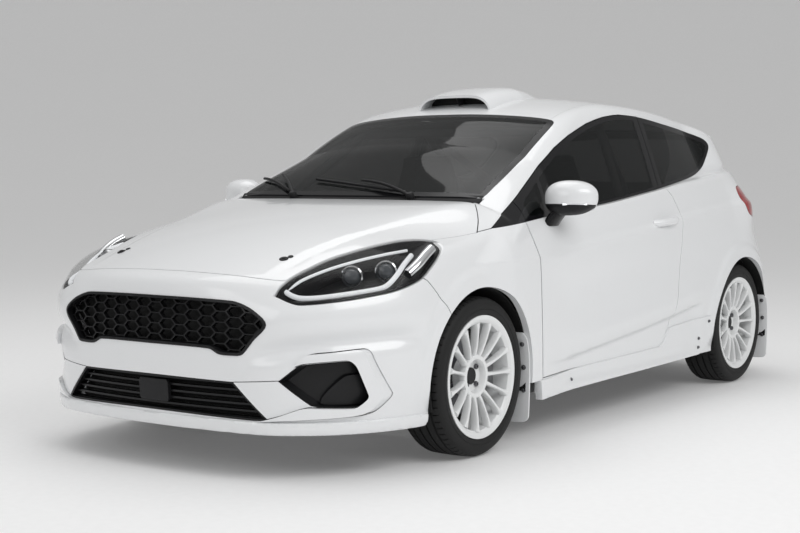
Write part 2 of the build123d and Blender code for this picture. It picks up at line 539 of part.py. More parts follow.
# Spoiler on the top of the tailgate
spoiler_side = [(TAIL_X - 62, 1334), (TAIL_X - 110, 1346), (TAIL_X - 235, 1330), (TAIL_X - 232, 1316),
                (TAIL_X - 150, 1290), (TAIL_X - 62, 1290)]
spoiler_plan = [(TAIL_X - 62, 445), (TAIL_X - 120, 470), (TAIL_X - 200, 470), (TAIL_X - 236, 400),
                (TAIL_X - 240, 0), (TAIL_X - 236, -400), (TAIL_X - 200, -470), (TAIL_X - 120, -470),
                (TAIL_X - 62, -445)]
roof_spoiler = side_prism(spoiler_side, -520, 520) & plan_prism(spoiler_plan, 1200, 1400)
roof_spoiler = roof_spoiler - body_volume(-0.3, -0.3)
roof_spoiler = sorted(roof_spoiler.solids(), key=lambda s: s.volume)[-1]

# Rear bumper and lamps
rear_bumper_block = side_prism(rear_bumper_line, -HALF - 100, HALF + 100)
rear_bumper = (panel_shell & rear_bumper_block) - tail_opening
tip_line = ((REAR_AXLE_X - 480, -290, 250), (REAR_X + 40, -340, 238))
rear_bumper = rear_bumper - rod((REAR_X + 260, -319, 243), (REAR_X - 60, -350, 236), 46)
TAIL_LAMP = [(REAR_X + 344, 1000), (REAR_X + 296, 868), (REAR_X + 150, 846), (REAR_X + 120, 940),
             (REAR_X + 190, 985)]
lamp_cut = side_prism(TAIL_LAMP, HALF - 282, HALF + 100)
lamp_cut_fit = side_fit(TAIL_LAMP, HALF - 282 + SEAT_GAP, HALF + 100, SEAT_GAP)
tail_lamp = (outer & lamp_cut_fit) - flank_volume(45)
tail_lights = pair(tail_lamp)

# Body sides: pillars, cant rail, sill and quarter panel in one wall
quarter_line = [(REAR_X + 1330, 1035), (REAR_X + 1345, 1296), (REAR_X + 1217, 1290), (REAR_X + 1053, 1268),
                (REAR_X + 864, 1240), (REAR_X + 740, 1212), (REAR_X + 715, 1180), (REAR_X + 800, 1120),
                (REAR_X + 925, 1072), (REAR_X + 1100, 1042)]
quarter_block = side_prism(quarter_line, 300, HALF + 100)
quarter_fit = side_fit(quarter_line, 300, HALF + 100, SEAT_GAP)
quarter_glass = glass_skin & quarter_fit
quarter_windows = pair(quarter_glass)
side_zone = block(REAR_X - 100, FIREWALL_X + FIREWALL, 0.2, HALF + 100, FLOOR_Z, 1500)
body_side = (wall_shell & side_zone) - roof_zone - screen_block - tail_opening - opening
fender_seat = side_prism(fender_back, 300, HALF + 100) - flank_volume(PANEL + SEAT_GAP)
body_side = body_side - quarter_block - rear_bumper_block - lamp_cut - fender_seat - bonnet_block
rear_core = (flank_volume(PANEL + SEAT_GAP) & rear_bumper_block) - flank_volume(SIDE_WALL) - tail_opening
rear_core = rear_core & block(REAR_X - 100, REAR_X + 700, -HALF, HALF, FLOOR_Z + 180, 700)
body_side = body_side + (rear_core & block(REAR_X - 100, REAR_X + 700, 479.8, HALF, 0, 700))
for clear in hinge_pockets:
    body_side = body_side - clear
for leaf in body_leaf_parts:
    body_side = body_side + leaf
body_side = body_side - block(REAR_X - 100, REAR_X + 700, -1, 479.6, 0, 700) - arches

# Underbody: floor, tunnel, firewall, wheel tubs, rails, strut towers and the beam behind the bumper
floor_fit = flank_volume(SIDE_WALL + SEAT_GAP)
floor = floor_fit & block(REAR_X + 1084, FIREWALL_X + FIREWALL, -HALF, HALF, FLOOR_Z, FLOOR_Z + FLOOR)
tunnel = block(REAR_X + 1084, FIREWALL_X, -130, 130, FLOOR_Z, 330)
tunnel = tunnel - block(REAR_X, FIREWALL_X + 60, -112, 112, 0, 312)
floor = (floor - block(REAR_X, FIREWALL_X + 60, -112, 112, 0, 300)) + tunnel
firewall = block(FIREWALL_X, FIREWALL_X + FIREWALL, -HALF, HALF, FLOOR_Z, 860)
firewall = body_volume(SIDE_WALL + SEAT_GAP, 0) & firewall
firewall = firewall - block(FIREWALL_X - 5, FIREWALL_X + 60, -112, 112, 0, 312)
boot = floor_fit & block(REAR_X + 80, REAR_X + 1084, -HALF, HALF, BOOT_FLOOR_Z, BOOT_FLOOR_Z + FLOOR)
riser = floor_fit & block(REAR_X + 1084, REAR_X + 1112, -HALF, HALF, FLOOR_Z, BOOT_FLOOR_Z + FLOOR)
riser = riser - block(REAR_X, FIREWALL_X, -112, 112, 0, 312)
tub = cross_drum(REAR_AXLE_X, HUB_Z, WELL_RADIUS + 12, WELL_INNER_Y - 12, HALF)
tub = (tub & floor_fit) & block(REAR_X, 0, 0, HALF, BOOT_FLOOR_Z - 40, 800)
back_panel = rear_core & block(REAR_X - 100, REAR_X + 400, -479.4, 479.4, 380, 640)
back_panel = back_panel + (flank_volume(PANEL + SEAT_GAP) & block(REAR_X - 10, REAR_X + 200, -479.4, 479.4,
                                                                   BOOT_FLOOR_Z, BOOT_FLOOR_Z + FLOOR))
underbody = floor + firewall + boot + riser + tub + flip(tub) + back_panel - arches
RAIL_Y = 430.0
rail = block(FIREWALL_X + 10, FRONT_X - 90, RAIL_Y - 30, RAIL_Y + 30, 350, 430) & flank_volume(PANEL + 20)
tower = block(FRONT_AXLE_X - 85, FRONT_AXLE_X + 85, RAIL_Y + 10, RAIL_Y + 30, 350, 835)
tower = tower + block(FRONT_AXLE_X - 85, FRONT_AXLE_X + 85, RAIL_Y + 10, KINGPIN_HIGH[0] + 75, 821, 835)
beam = flank_volume(PANEL + SEAT_GAP) & block(FRONT_X - 260, FRONT_X, -520, 520, 365, 435)
beam = beam - flank_volume(PANEL + 80)
engine_rest = block(FRONT_AXLE_X + 150, FRONT_AXLE_X + 230, 320, RAIL_Y, 360, 420)
underbody = underbody + rail + flip(rail) + tower + flip(tower) + beam + engine_rest + flip(engine_rest)
JACK_XS = (FRONT_X - 1480, REAR_X + 1200)
for x in JACK_XS:
    pad = block(x - 45, x + 45, HALF - 190, HALF - 130, FLOOR_Z - 22, FLOOR_Z + 5)
    underbody = underbody + pad + flip(pad)

# Engine, as one closed block, with the guard under it
engine_block = block(FRONT_AXLE_X - 40, FRONT_AXLE_X + 420, -320, 320, 270, 640)
engine_block = engine_block + block(FRONT_AXLE_X + 40, FRONT_AXLE_X + 330, -240, 240, 640, 790)
subframe = block(FRONT_AXLE_X - 190, FRONT_AXLE_X + 330, -400, 400, 180, 240)
subframe = subframe - block(FRONT_AXLE_X - 90, FRONT_AXLE_X + 230, -300, 300, 170, 250)
hanger = block(FRONT_AXLE_X - 180, FRONT_AXLE_X - 120, 376, 416, 200, 350)
hanger = hanger + block(FRONT_AXLE_X + 250, FRONT_AXLE_X + 310, 376, 416, 200, 350)
arm_line = [(FRONT_AXLE_X - 130, 390), (FRONT_AXLE_X + 110, 390), (FRONT_AXLE_X + 17, KINGPIN_LOW[0] + 12),
            (FRONT_AXLE_X - 17, KINGPIN_LOW[0] + 12)]
arm = plan_prism(arm_line, 146, 166)
arm = arm + block(FRONT_AXLE_X - 130, FRONT_AXLE_X + 110, 372, 400, 150, 200)
subframe = subframe + hanger + flip(hanger) + arm + flip(arm)
front_subframe = subframe
sump_guard = block(FRONT_AXLE_X - 160, FRONT_AXLE_X + 320, -360, 360, 138, 146)
for x in (FRONT_AXLE_X - 140, FRONT_AXLE_X + 280):
    for y in (-345, 345):
        sump_guard = sump_guard + block(x - 15, x + 15, y - 15, y + 15, 140, 180)

# Front knuckles: spindle, upright, strut and caliper
SPINDLE_R = 32.0
HUB_FACE = 12.0
DISC_OUT = -4.0
DISC_IN = -28.0
DISC_R = 150.0


def strut_point(z):
    share = (z - KINGPIN_LOW[1]) / (KINGPIN_HIGH[1] - KINGPIN_LOW[1])
    return (FRONT_AXLE_X, KINGPIN_LOW[0] + share * (KINGPIN_HIGH[0] - KINGPIN_LOW[0]), z)


def caliper(centre_x, wheel_y):
    """Block over the disc edge with a slot that clears it."""
    body = block(centre_x - 190, centre_x - 92, wheel_y - 66, wheel_y + 24, HUB_Z - 60, HUB_Z + 60)
    slot = cross_drum(centre_x, HUB_Z, DISC_R + 7, wheel_y + DISC_IN - 7, wheel_y + DISC_OUT + 7)
    return body - slot


knuckle = cross_drum(FRONT_AXLE_X, HUB_Z, SPINDLE_R - PIN_PLAY, FRONT_WHEEL_Y - 60, FRONT_WHEEL_Y + 34)
knuckle = knuckle + cross_drum(FRONT_AXLE_X, HUB_Z, 58, FRONT_WHEEL_Y - 80, FRONT_WHEEL_Y - 44)
upright = front_prism([(KINGPIN_LOW[0] - 24, 188), (KINGPIN_LOW[0] + 20, 188), (FRONT_WHEEL_Y - 46, 270),
                       (FRONT_WHEEL_Y - 46, 350), (FRONT_WHEEL_Y - 120, 430), (FRONT_WHEEL_Y - 165, 430),
                       (FRONT_WHEEL_Y - 110, 300)], FRONT_AXLE_X - 28, FRONT_AXLE_X + 28)
knuckle = knuckle + upright + rod(strut_point(340), strut_point(690), 25)
knuckle = knuckle + rod(strut_point(660), strut_point(806), 12)
knuckle = knuckle + rod(strut_point(176), strut_point(230), 14)
knuckle = knuckle + caliper(FRONT_AXLE_X, FRONT_WHEEL_Y)
knuckle = knuckle + block(FRONT_AXLE_X - 120, FRONT_AXLE_X, FRONT_WHEEL_Y - 84, FRONT_WHEEL_Y - 60,
                          HUB_Z - 28, HUB_Z + 28)
cup = rod(strut_point(815.5), strut_point(821), 60)
underbody = underbody + cup + flip(cup)
front_knuckle = knuckle

# Rear axle: twist beam, trailing arms, stub axles and calipers
trail = block(REAR_AXLE_X - 30, REAR_AXLE_X + 400, 512, 566, 262, 332)
trail = trail + block(REAR_AXLE_X - 40, REAR_AXLE_X + 40, 540, REAR_WHEEL_Y - 60, 266, 346)
trail = trail + cross_drum(REAR_AXLE_X, HUB_Z, SPINDLE_R - PIN_PLAY, REAR_WHEEL_Y - 62, REAR_WHEEL_Y + 34)
trail = trail + cross_drum(REAR_AXLE_X, HUB_Z, 58, REAR_WHEEL_Y - 84, REAR_WHEEL_Y - 44)
trail = trail + caliper(REAR_AXLE_X, REAR_WHEEL_Y)
trail = trail + block(REAR_AXLE_X - 120, REAR_AXLE_X, REAR_WHEEL_Y - 84, REAR_WHEEL_Y - 60,
                      HUB_Z - 28, HUB_Z + 28)
damper = rod((REAR_AXLE_X - 20, 538, 320), (REAR_AXLE_X - 20, 538, HUB_Z + WELL_RADIUS), 24)
trail = trail + (damper & cross_drum(REAR_AXLE_X, HUB_Z, WELL_RADIUS - SEAT_GAP, 500, 600))
rear_axle_beam = trail + flip(trail) + block(REAR_AXLE_X + 130, REAR_AXLE_X + 210, -520, 520, 266, 330)
rear_axle_beam = rear_axle_beam & block(REAR_X, FRONT_X, -HALF, HALF, 0, 700)
pivot = block(REAR_X + 1030, REAR_X + 1084, 506, 572, 250, 345)
rear_axle_beam = (rear_axle_beam & block(REAR_X, REAR_X + 1083.6, -HALF, HALF, 0, 700))
underbody = underbody + (block(REAR_X + 1040, REAR_X + 1090, 420, 580, 345.4, BOOT_FLOOR_Z + 5))
underbody = underbody + flip(block(REAR_X + 1040, REAR_X + 1090, 420, 580, 345.4, BOOT_FLOOR_Z + 5))
rear_axle_beam = rear_axle_beam + (pivot & block(REAR_X, REAR_X + 1083.6, -HALF, HALF, 0, 700))
rear_axle_beam = rear_axle_beam + flip(pivot & block(REAR_X, REAR_X + 1083.6, -HALF, HALF, 0, 700))

# Exhaust along the tunnel to a box behind the axle
pipe = bent_tube([(FRONT_AXLE_X - 260, 0, 214), (REAR_AXLE_X + 300, 0, 214), (REAR_AXLE_X + 60, -140, 222),
                  (REAR_AXLE_X - 300, -200, 240)], 26)
exhaust = pipe + block(REAR_AXLE_X - 500, REAR_AXLE_X - 270, -330, -70, 210, 330)
exhaust = exhaust + rod(tip_line[0], tip_line[1], 34)
for x, top in ((FRONT_AXLE_X - 600, 312), (REAR_AXLE_X + 600, 312)):
    exhaust = exhaust + block(x - 10, x + 10, -10, 10, 220, top)
exhaust = exhaust + block(REAR_AXLE_X - 400, REAR_AXLE_X - 370, -210, -190, 320, BOOT_FLOOR_Z)

# Wheels: spoked rim, tyre and disc, drawn once about the hub axis with +Y outboard
rim_profile = [(205, -97), (RIM_RADIUS, -97), (RIM_RADIUS, -90), (219, -84), (219, -40), (212, -25), (212, 60),
               (219, 84), (RIM_RADIUS, 90), (RIM_RADIUS, 97), (207, 97), (204, 60), (204, -25)]
hub_profile = [(SPINDLE_R, HUB_FACE), (78, HUB_FACE), (84, 40), (80, 70), (66, 72), (60, 38), (SPINDLE_R, 34)]


def spun(points):
    """Ring turned about the hub axis from radius and offset pairs."""
    plane = Plane(origin=(0, 0, 0), x_dir=(1, 0, 0), z_dir=(0, 0, 1))
    return revolve(plane * make_face(Polyline(*points, close=True)), Axis.Y, 360)


rim = spun(rim_profile) + spun(hub_profile)
spoke_depth = [(70, 44), (70, 71), (130, 84), (209, 94), (209, 62), (130, 56)]
spoke_width = [(68, -8), (150, -6.5), (211, -9), (211, 9), (150, 6.5), (68, 8)]
spoke_side = extrude(Plane.XY * make_face(Polyline(*spoke_depth, close=True)), 12, both=True)
spoke_plane = Plane(origin=(0, 0, 0), x_dir=(1, 0, 0), z_dir=(0, -1, 0))
spoke_face = extrude(spoke_plane * make_face(Polyline(*spoke_width, close=True)), -200)
spoke = spoke_side & spoke_face
for step in range(SPOKES):
    rim = rim + spoke.rotate(Axis.Y, step * 360 / SPOKES)
for step in range(4):
    rim = rim - (Plane(origin=(54, 0, 0), z_dir=(0, 1, 0)) * Cylinder(7, 90)).rotate(Axis.Y, 45 + step * 90)
half_tread = TYRE_WIDTH / 2
tyre = spun([(RIM_RADIUS - 15, -83), (RIM_RADIUS + 0.4, -89.6), (RIM_RADIUS + 0.4, -96), (262, -half_tread),
             (290, -half_tread + 4), (303, -half_tread + 18), (TYRE_RADIUS, -half_tread + 38),
             (TYRE_RADIUS, half_tread - 38), (303, half_tread - 18), (290, half_tread - 4), (262, half_tread),
             (RIM_RADIUS + 0.4, 96), (RIM_RADIUS + 0.4, 89.6), (RIM_RADIUS - 15, 83), (RIM_RADIUS - 15, 50),
             (285, 70), (293, 0), (285, -70), (RIM_RADIUS - 15, -50)])
disc = spun([(SPINDLE_R, HUB_FACE - 8), (66, HUB_FACE - 8), (66, DISC_IN), (DISC_R, DISC_IN), (DISC_R, DISC_OUT),
             (78, DISC_OUT), (78, HUB_FACE), (SPINDLE_R, HUB_FACE)])

# Roll cage, seats and dash
TUBE_R = 20.0
HOOP_X = ROOF_X - 20
FOOT_Z = FLOOR_Z + FLOOR
hoop = bent_tube([(HOOP_X, 640, FOOT_Z), (HOOP_X, 655, 880), (HOOP_X, 505, 1310), (HOOP_X, -505, 1310),
                  (HOOP_X, -655, 880), (HOOP_X, -640, FOOT_Z)], TUBE_R)
front_leg = bent_tube([(FIREWALL_X - 45, 640, FOOT_Z), (FIREWALL_X - 45, 650, 830), (ROOF_X + 500, 490, 1262),
                       (HOOP_X, 505, 1310)], TUBE_R)
brace = bent_tube([(HOOP_X, 505, 1310), (REAR_AXLE_X + 20, 440, BOOT_FLOOR_Z + FLOOR)], TUBE_R)
roll_cage = hoop + front_leg + flip(front_leg) + brace + flip(brace)
roll_cage = roll_cage + rod((ROOF_X + 500, 490, 1262), (ROOF_X + 500, -490, 1262), TUBE_R)
roll_cage = roll_cage + rod((HOOP_X, 648, 560), (HOOP_X, -505, 1300), TUBE_R)
roll_cage = roll_cage + rod((FIREWALL_X - 45, 645, 560), (HOOP_X, 648, 420), TUBE_R)
roll_cage = roll_cage + rod((FIREWALL_X - 45, -645, 560), (HOOP_X, -648, 420), TUBE_R)
roll_cage = roll_cage & block(REAR_X, FRONT_X, -HALF, HALF, FOOT_Z, 1500)
roll_cage = roll_cage - block(REAR_X, REAR_X + 1084, -HALF, HALF, 0, BOOT_FLOOR_Z + FLOOR)

SEAT_X = ROOF_X + 400
seat_side = [(SEAT_X + 270, 330), (SEAT_X + 280, 470), (SEAT_X + 230, 500), (SEAT_X - 60, 440), (SEAT_X - 130, 640),
             (SEAT_X - 210, 980), (SEAT_X - 200, 1110), (SEAT_X - 250, 1180), (SEAT_X - 320, 1170),
             (SEAT_X - 330, 960), (SEAT_X - 240, 560), (SEAT_X - 220, 330)]
seat_room = [(SEAT_X + 300, 470), (SEAT_X + 230, 440), (SEAT_X - 80, 385), (SEAT_X - 170, 400), (SEAT_X - 195, 560),
             (SEAT_X - 290, 960), (SEAT_X - 280, 1200), (SEAT_X + 300, 1200)]
seat = side_prism(seat_side, 345 - 250, 345 + 250) - side_prism(seat_room, 345 - 185, 345 + 185)
seat = seat + block(SEAT_X - 190, SEAT_X + 230, 345 - 200, 345 - 170, FOOT_Z, 335)
seat = seat + block(SEAT_X - 190, SEAT_X + 230, 345 + 190, 345 + 220, FOOT_Z, 335)
seats = pair(seat)

dash_profile = [(FIREWALL_X, 560), (FIREWALL_X, 846), (FIREWALL_X - 120, 850), (FIREWALL_X - 240, 812),
                (FIREWALL_X - 270, 700), (FIREWALL_X - 190, 560)]
dashboard = side_prism(dash_profile, -600, 600) & floor_fit
column_axis = (-cos(radians(COLUMN_TILT)), 0, sin(radians(COLUMN_TILT)))
column_foot = tuple(WHEEL_CENTRE[i] - column_axis[i] * 210 for i in range(3))
column_tip = tuple(WHEEL_CENTRE[i] + column_axis[i] * 10 for i in range(3))
dashboard = dashboard + rod(column_foot, column_tip, 16)
wheel_plane = Plane(origin=WHEEL_CENTRE, x_dir=(0, 1, 0), z_dir=column_axis)
steering_wheel = wheel_plane * (Torus(168, 14) + Cylinder(45, 26))
for turn in (0, 90, 180):
    steering_wheel = steering_wheel + wheel_plane * (Rot(0, 0, turn - 180) * (Pos(100, 0, 0) * Box(130, 34, 10)))
steering_wheel = steering_wheel - wheel_plane * Cylinder(16 + PIN_PLAY, 60)

# Side skirts and mud flaps
skirt_line = [(FRONT_X - 1310, 238), (FRONT_X - 1787, 250), (REAR_X + 1564, 260), (REAR_X + 1455, 345),
              (REAR_X + 1058, 366), (REAR_X + 1064, 240), (REAR_X + 1172, 192), (FRONT_X - 1963, 180),
              (FRONT_X - 1316, 164)]
skirt = side_prism(skirt_line, HALF - 70, HALF - 6) - body_volume(-0.3, -0.3)
skirt = sorted(skirt.solids(), key=lambda s: s.volume)[-1] - arches
side_skirts = pair(skirt)
front_flap = block(FRONT_X - 1300, FRONT_X - 1288, HALF - 165, HALF - 15, 90, FLOOR_Z - SEAT_GAP)
rear_flap = block(REAR_X + 318, REAR_X + 330, HALF - 190, HALF - 40, 110, FLOOR_Z - SEAT_GAP)
mud_flaps = Compound(children=[front_flap, flip(front_flap), rear_flap, flip(rear_flap)])

os.makedirs("parts", exist_ok=True)


def save(shape, name):
    export_step(shape, "parts/" + name + ".step")


whole_pieces = [
    ("front_bumper", front_bumper), ("grilles", grilles), ("fog_lamp_bezels", fog_lamp_bezels),
    ("front_splitter", front_splitter), ("front_fenders", front_fenders), ("headlight_lenses", headlight_lenses),
    ("headlight_housings", headlight_housings), ("bonnet", bonnet), ("windscreen", windscreen), ("cowl", cowl),
    ("roof_panel", roof_panel), ("roof_vent", roof_vent), ("tailgate", tailgate), ("rear_window", rear_window),
    ("roof_spoiler", roof_spoiler), ("rear_bumper", rear_bumper), ("tail_lights", tail_lights),
    ("quarter_windows", quarter_windows), ("underbody", underbody), ("engine_block", engine_block),
    ("front_subframe", front_subframe), ("sump_guard", sump_guard), ("rear_axle_beam", rear_axle_beam),
    ("exhaust", exhaust), ("roll_cage", roll_cage), ("seats", seats), ("dashboard", dashboard),
    ("steering_wheel", steering_wheel), ("side_skirts", side_skirts), ("mud_flaps", mud_flaps)]
left_pieces = [("body_side", body_side), ("door", door), ("door_glass", door_glass),
               ("door_mirror", door_mirror), ("front_knuckle", front_knuckle)]
for name, shape in whole_pieces:
    save(shape, name)
for name, shape in left_pieces:
    save(shape, name + "_left")
    save(flip(shape), name + "_right")
for place, axle_x, wheel_y in (("front", FRONT_AXLE_X, FRONT_WHEEL_Y), ("rear", REAR_AXLE_X, REAR_WHEEL_Y)):
    for shape, name in ((rim, "rim"), (tyre, "tyre"), (disc, "brake_disc")):
        placed = Pos(axle_x, wheel_y, HUB_Z) * shape
        save(placed, name + "_" + place + "_left")
        save(flip(placed), name + "_" + place + "_right")
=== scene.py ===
import bpy
import bmesh
import json
import math
import numpy as np
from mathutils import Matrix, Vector

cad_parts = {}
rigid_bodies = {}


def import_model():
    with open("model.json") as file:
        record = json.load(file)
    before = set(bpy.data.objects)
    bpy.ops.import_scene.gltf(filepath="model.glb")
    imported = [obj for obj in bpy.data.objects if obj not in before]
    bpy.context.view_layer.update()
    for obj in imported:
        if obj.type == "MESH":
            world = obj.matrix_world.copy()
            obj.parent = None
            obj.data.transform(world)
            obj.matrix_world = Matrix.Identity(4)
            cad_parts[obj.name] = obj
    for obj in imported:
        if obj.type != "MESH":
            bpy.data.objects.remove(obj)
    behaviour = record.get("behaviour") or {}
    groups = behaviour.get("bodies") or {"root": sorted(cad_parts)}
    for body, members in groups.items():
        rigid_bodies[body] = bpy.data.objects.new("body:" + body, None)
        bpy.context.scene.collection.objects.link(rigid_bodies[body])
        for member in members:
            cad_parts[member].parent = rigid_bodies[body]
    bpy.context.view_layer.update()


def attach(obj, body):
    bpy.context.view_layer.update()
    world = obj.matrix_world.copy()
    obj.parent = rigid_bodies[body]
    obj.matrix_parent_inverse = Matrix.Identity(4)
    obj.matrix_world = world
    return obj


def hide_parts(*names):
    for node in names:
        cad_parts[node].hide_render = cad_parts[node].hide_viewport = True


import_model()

cad_pieces = set(thing.name for thing in bpy.data.objects)
placed = set()

# Body form, in millimetres: +X forward, +Y left, +Z up, ground at zero
LENGTH = 4068.0
FRONT_X = LENGTH / 2
REAR_X = -LENGTH / 2
HALF = 870.0
FRONT_AXLE_X = FRONT_X - 900.0
REAR_AXLE_X = FRONT_AXLE_X - 2493.0
COWL_X = FRONT_X - 1208
HUB_Z = 306.0
ARCH_RADIUS = 342.0
ROOF_TOP = 1442.0
ROOF_TOP_X = -420.0
SCREEN_TOP_X = 399.0

# Columns: height, then nose, corner back, corner tuck, side back, side tuck, waist tuck, hip forward,
# hip tuck, tail corner forward, tail corner tuck, tail
LOWER_ROWS = np.array([
    (120, 30, 72, 375, 575, 52, 36, 550, 75, 110, 270, 90),
    (190, 22, 62, 380, 560, 40, 28, 560, 55, 80, 270, 55),
    (330, 10, 52, 390, 540, 25, 20, 580, 30, 50, 270, 10),
    (470, 10, 52, 380, 540, 18, 14, 590, 8, 45, 270, 4),
    (600, 16, 64, 370, 560, 15, 6, 600, 4, 90, 260, 40),
    (720, 42, 150, 350, 640, 25, 10, 620, 8, 140, 270, 90),
    (830, 125, 300, 310, 760, 55, 38, 640, 35, 190, 290, 145),
    (930, 250, 430, 310, 840, 85, 75, 660, 68, 240, 310, 190),
    (1080, 420, 560, 330, 900, 140, 135, 690, 135, 310, 330, 260),
    (1230, 590, 690, 350, 960, 195, 195, 720, 202, 380, 350, 330)], dtype=float)
GLASS_ROWS = np.array([
    (740, 840, 935, 175, 1105, 60, 34, 680, 62, 210, 285, 132),
    (860, 1040, 1130, 210, 1310, 100, 78, 700, 108, 260, 310, 185),
    (1100, 1440, 1520, 280, 1720, 180, 165, 740, 200, 360, 360, 290),
    (1330, 1868, 1930, 330, 2110, 273, 258, 790, 300, 480, 400, 402),
    (1500, 2190, 2240, 380, 2420, 345, 330, 830, 375, 580, 450, 490)], dtype=float)


def smooth_table(rows, heights):
    """Values of every column at the given heights, on a smooth curve through the rows."""
    z = rows[:, 0]
    slopes = np.zeros_like(rows)
    slopes[1:-1] = (rows[2:] - rows[:-2]) / (z[2:] - z[:-2])[:, None]
    slopes[0] = (rows[1] - rows[0]) / (z[1] - z[0])
    slopes[-1] = (rows[-1] - rows[-2]) / (z[-1] - z[-2])
    k = np.clip(np.searchsorted(z, heights) - 1, 0, len(z) - 2)
    step = (z[k + 1] - z[k])[:, None]
    t = ((heights - z[k]) / (z[k + 1] - z[k]))[:, None]
    h00 = 2 * t ** 3 - 3 * t ** 2 + 1
    h10 = t ** 3 - 2 * t ** 2 + t
    h01 = -2 * t ** 3 + 3 * t ** 2
    h11 = t ** 3 - t ** 2
    return h00 * rows[k] + h10 * step * slopes[k] + h01 * rows[k + 1] + h11 * step * slopes[k + 1]


def arc_through(a, b, c, count):
    """Points on the circle through three plan points, from a to c."""
    ax, ay = a
    bx, by = b
    cx, cy = c
    d = 2 * (ax * (by - cy) + bx * (cy - ay) + cx * (ay - by))
    aa, bb, cc = (px * px + py * py for px, py in (a, b, c))
    ux = (aa * (by - cy) + bb * (cy - ay) + cc * (ay - by)) / d
    uy = (aa * (cx - bx) + bb * (ax - cx) + cc * (bx - ax)) / d
    start = math.atan2(ay - uy, ax - ux)
    end = math.atan2(cy - uy, cx - ux)
    mid = math.atan2(by - uy, bx - ux)
    while mid < start:
        mid += 2 * math.pi
    while end < start:
        end += 2 * math.pi
    if mid > end:
        end -= 2 * math.pi
    radius = math.hypot(ax - ux, ay - uy)
    angles = np.linspace(start, end, count)
    return np.stack([ux + radius * np.cos(angles), uy + radius * np.sin(angles)], axis=1)


def half_ring(row):
    """Left half of the body outline at one height, from the nose to the tail, with soft corners."""
    (_, nose, corner_back, corner_tuck, side_back, side_tuck, waist, hip_forward, hip_tuck,
     tail_forward, tail_tuck, tail) = row
    corner = np.array((FRONT_X - corner_back, HALF - corner_tuck))
    side = np.array((FRONT_X - side_back, HALF - side_tuck))
    hip = np.array((REAR_X + hip_forward, HALF - hip_tuck))
    tail_corner = np.array((REAR_X + tail_forward, HALF - tail_tuck))
    middle = np.array(((side[0] + hip[0]) / 2, HALF - waist))

    def bulged(a, b):
        mid = (a + b) / 2
        d = b - a
        n = np.array((-d[1], d[0]))
        if n @ mid < 0:
            n = -n
        return arc_through(a, mid + n * 0.14, b, 60)

    front = arc_through((corner[0], -corner[1]), (FRONT_X - nose, 0), corner, 121)[60:]
    rear = arc_through(tail_corner, (REAR_X + tail, 0), (tail_corner[0], -tail_corner[1]), 121)[:61]
    line = np.concatenate([front, bulged(corner, side)[1:], arc_through(side, middle, hip, 80)[1:],
                           bulged(hip, tail_corner)[1:], rear[1:]])
    step = np.hypot(*np.diff(line, axis=0).T)
    length = np.concatenate([[0], np.cumsum(step)])
    even = np.linspace(0, length[-1], 500)
    line = np.stack([np.interp(even, length, line[:, 0]), np.interp(even, length, line[:, 1])], axis=1)
    full = np.concatenate([line[60:0:-1] * (1, -1), line, line[-2:-62:-1] * (1, -1)])
    window = np.exp(-0.5 * (np.arange(-24, 25) * (even[1]) / 48.0) ** 2)
    window /= window.sum()
    soft = np.stack([np.convolve(full[:, i], window, mode="same") for i in (0, 1)], axis=1)
    return soft[60:-60]


class RingField:
    """Signed gap to a stack of outlines, measured from a spine along the middle of the car."""

    def __init__(self, rows, low, high, front, rear):
        self.low = low
        self.step = 8.0
        self.front = front
        self.rear = rear
        heights = np.arange(low, high + 1, self.step)
        table = smooth_table(rows, heights)
        self.count = 240
        angles = np.linspace(0, math.pi / 2, self.count)
        stations = np.linspace(front, rear, self.count)
        self.table = np.zeros((len(heights), 3 * self.count - 2))
        for i, row in enumerate(table):
            ring = half_ring(row)
            x, y = ring[:, 0], ring[:, 1]
            ahead = x >= front - 60
            angle = np.arctan2(y[ahead], x[ahead] - front)
            self.table[i, :self.count] = np.interp(angles, angle, np.hypot(y[ahead], x[ahead] - front))
            order = np.argsort(x)
            self.table[i, self.count - 1:2 * self.count - 1] = np.interp(stations, x[order], y[order])
            behind = x <= rear + 60
            angle = np.arctan2(y[behind], x[behind] - rear)
            reach = np.hypot(y[behind], x[behind] - rear)
            self.table[i, 2 * self.count - 2:] = np.interp(angles + math.pi / 2, angle, reach)

    def __call__(self, x, y, z):
        y = np.abs(y)
        n = self.count - 1
        ahead = x > self.front
        behind = x < self.rear
        dx = np.where(ahead, x - self.front, np.where(behind, x - self.rear, 0.0))
        radius = np.hypot(dx, y)
        angle = np.arctan2(y, dx)
        place = np.where(ahead, angle / (math.pi / 2) * n,
                         np.where(behind, 2 * n + (angle - math.pi / 2) / (math.pi / 2) * n,
                                  n + (self.front - x) / (self.front - self.rear) * n))
        level = np.clip((z - self.low) / self.step, 0, self.table.shape[0] - 1.001)
        i = level.astype(np.int32)
        u = level - i
        place = np.clip(place, 0, self.table.shape[1] - 1.001)
        j = place.astype(np.int32)
        v = place - j
        t = self.table
        out = (t[i, j] * (1 - u) * (1 - v) + t[i + 1, j] * u * (1 - v)
               + t[i, j + 1] * (1 - u) * v + t[i + 1, j + 1] * u * v)
        return radius - out


lower_ring = RingField(LOWER_ROWS, 120, 1230, 900.0, -1200.0)
glass_ring = RingField(GLASS_ROWS, 740, 1500, -420.0, -950.0)


def soft_max(a, b, k):
    """Larger of two values, rounded over a width of k."""
    h = np.clip(0.5 + 0.5 * (a - b) / k, 0, 1)
    return b + (a - b) * h + k * h * (1 - h)


def soft_min(a, b, k):
    return -soft_max(-a, -b, k)


def ease(t):
    """Smooth step from 0 to 1."""
    t = np.clip(t, 0, 1)
    return t * t * (3 - 2 * t)


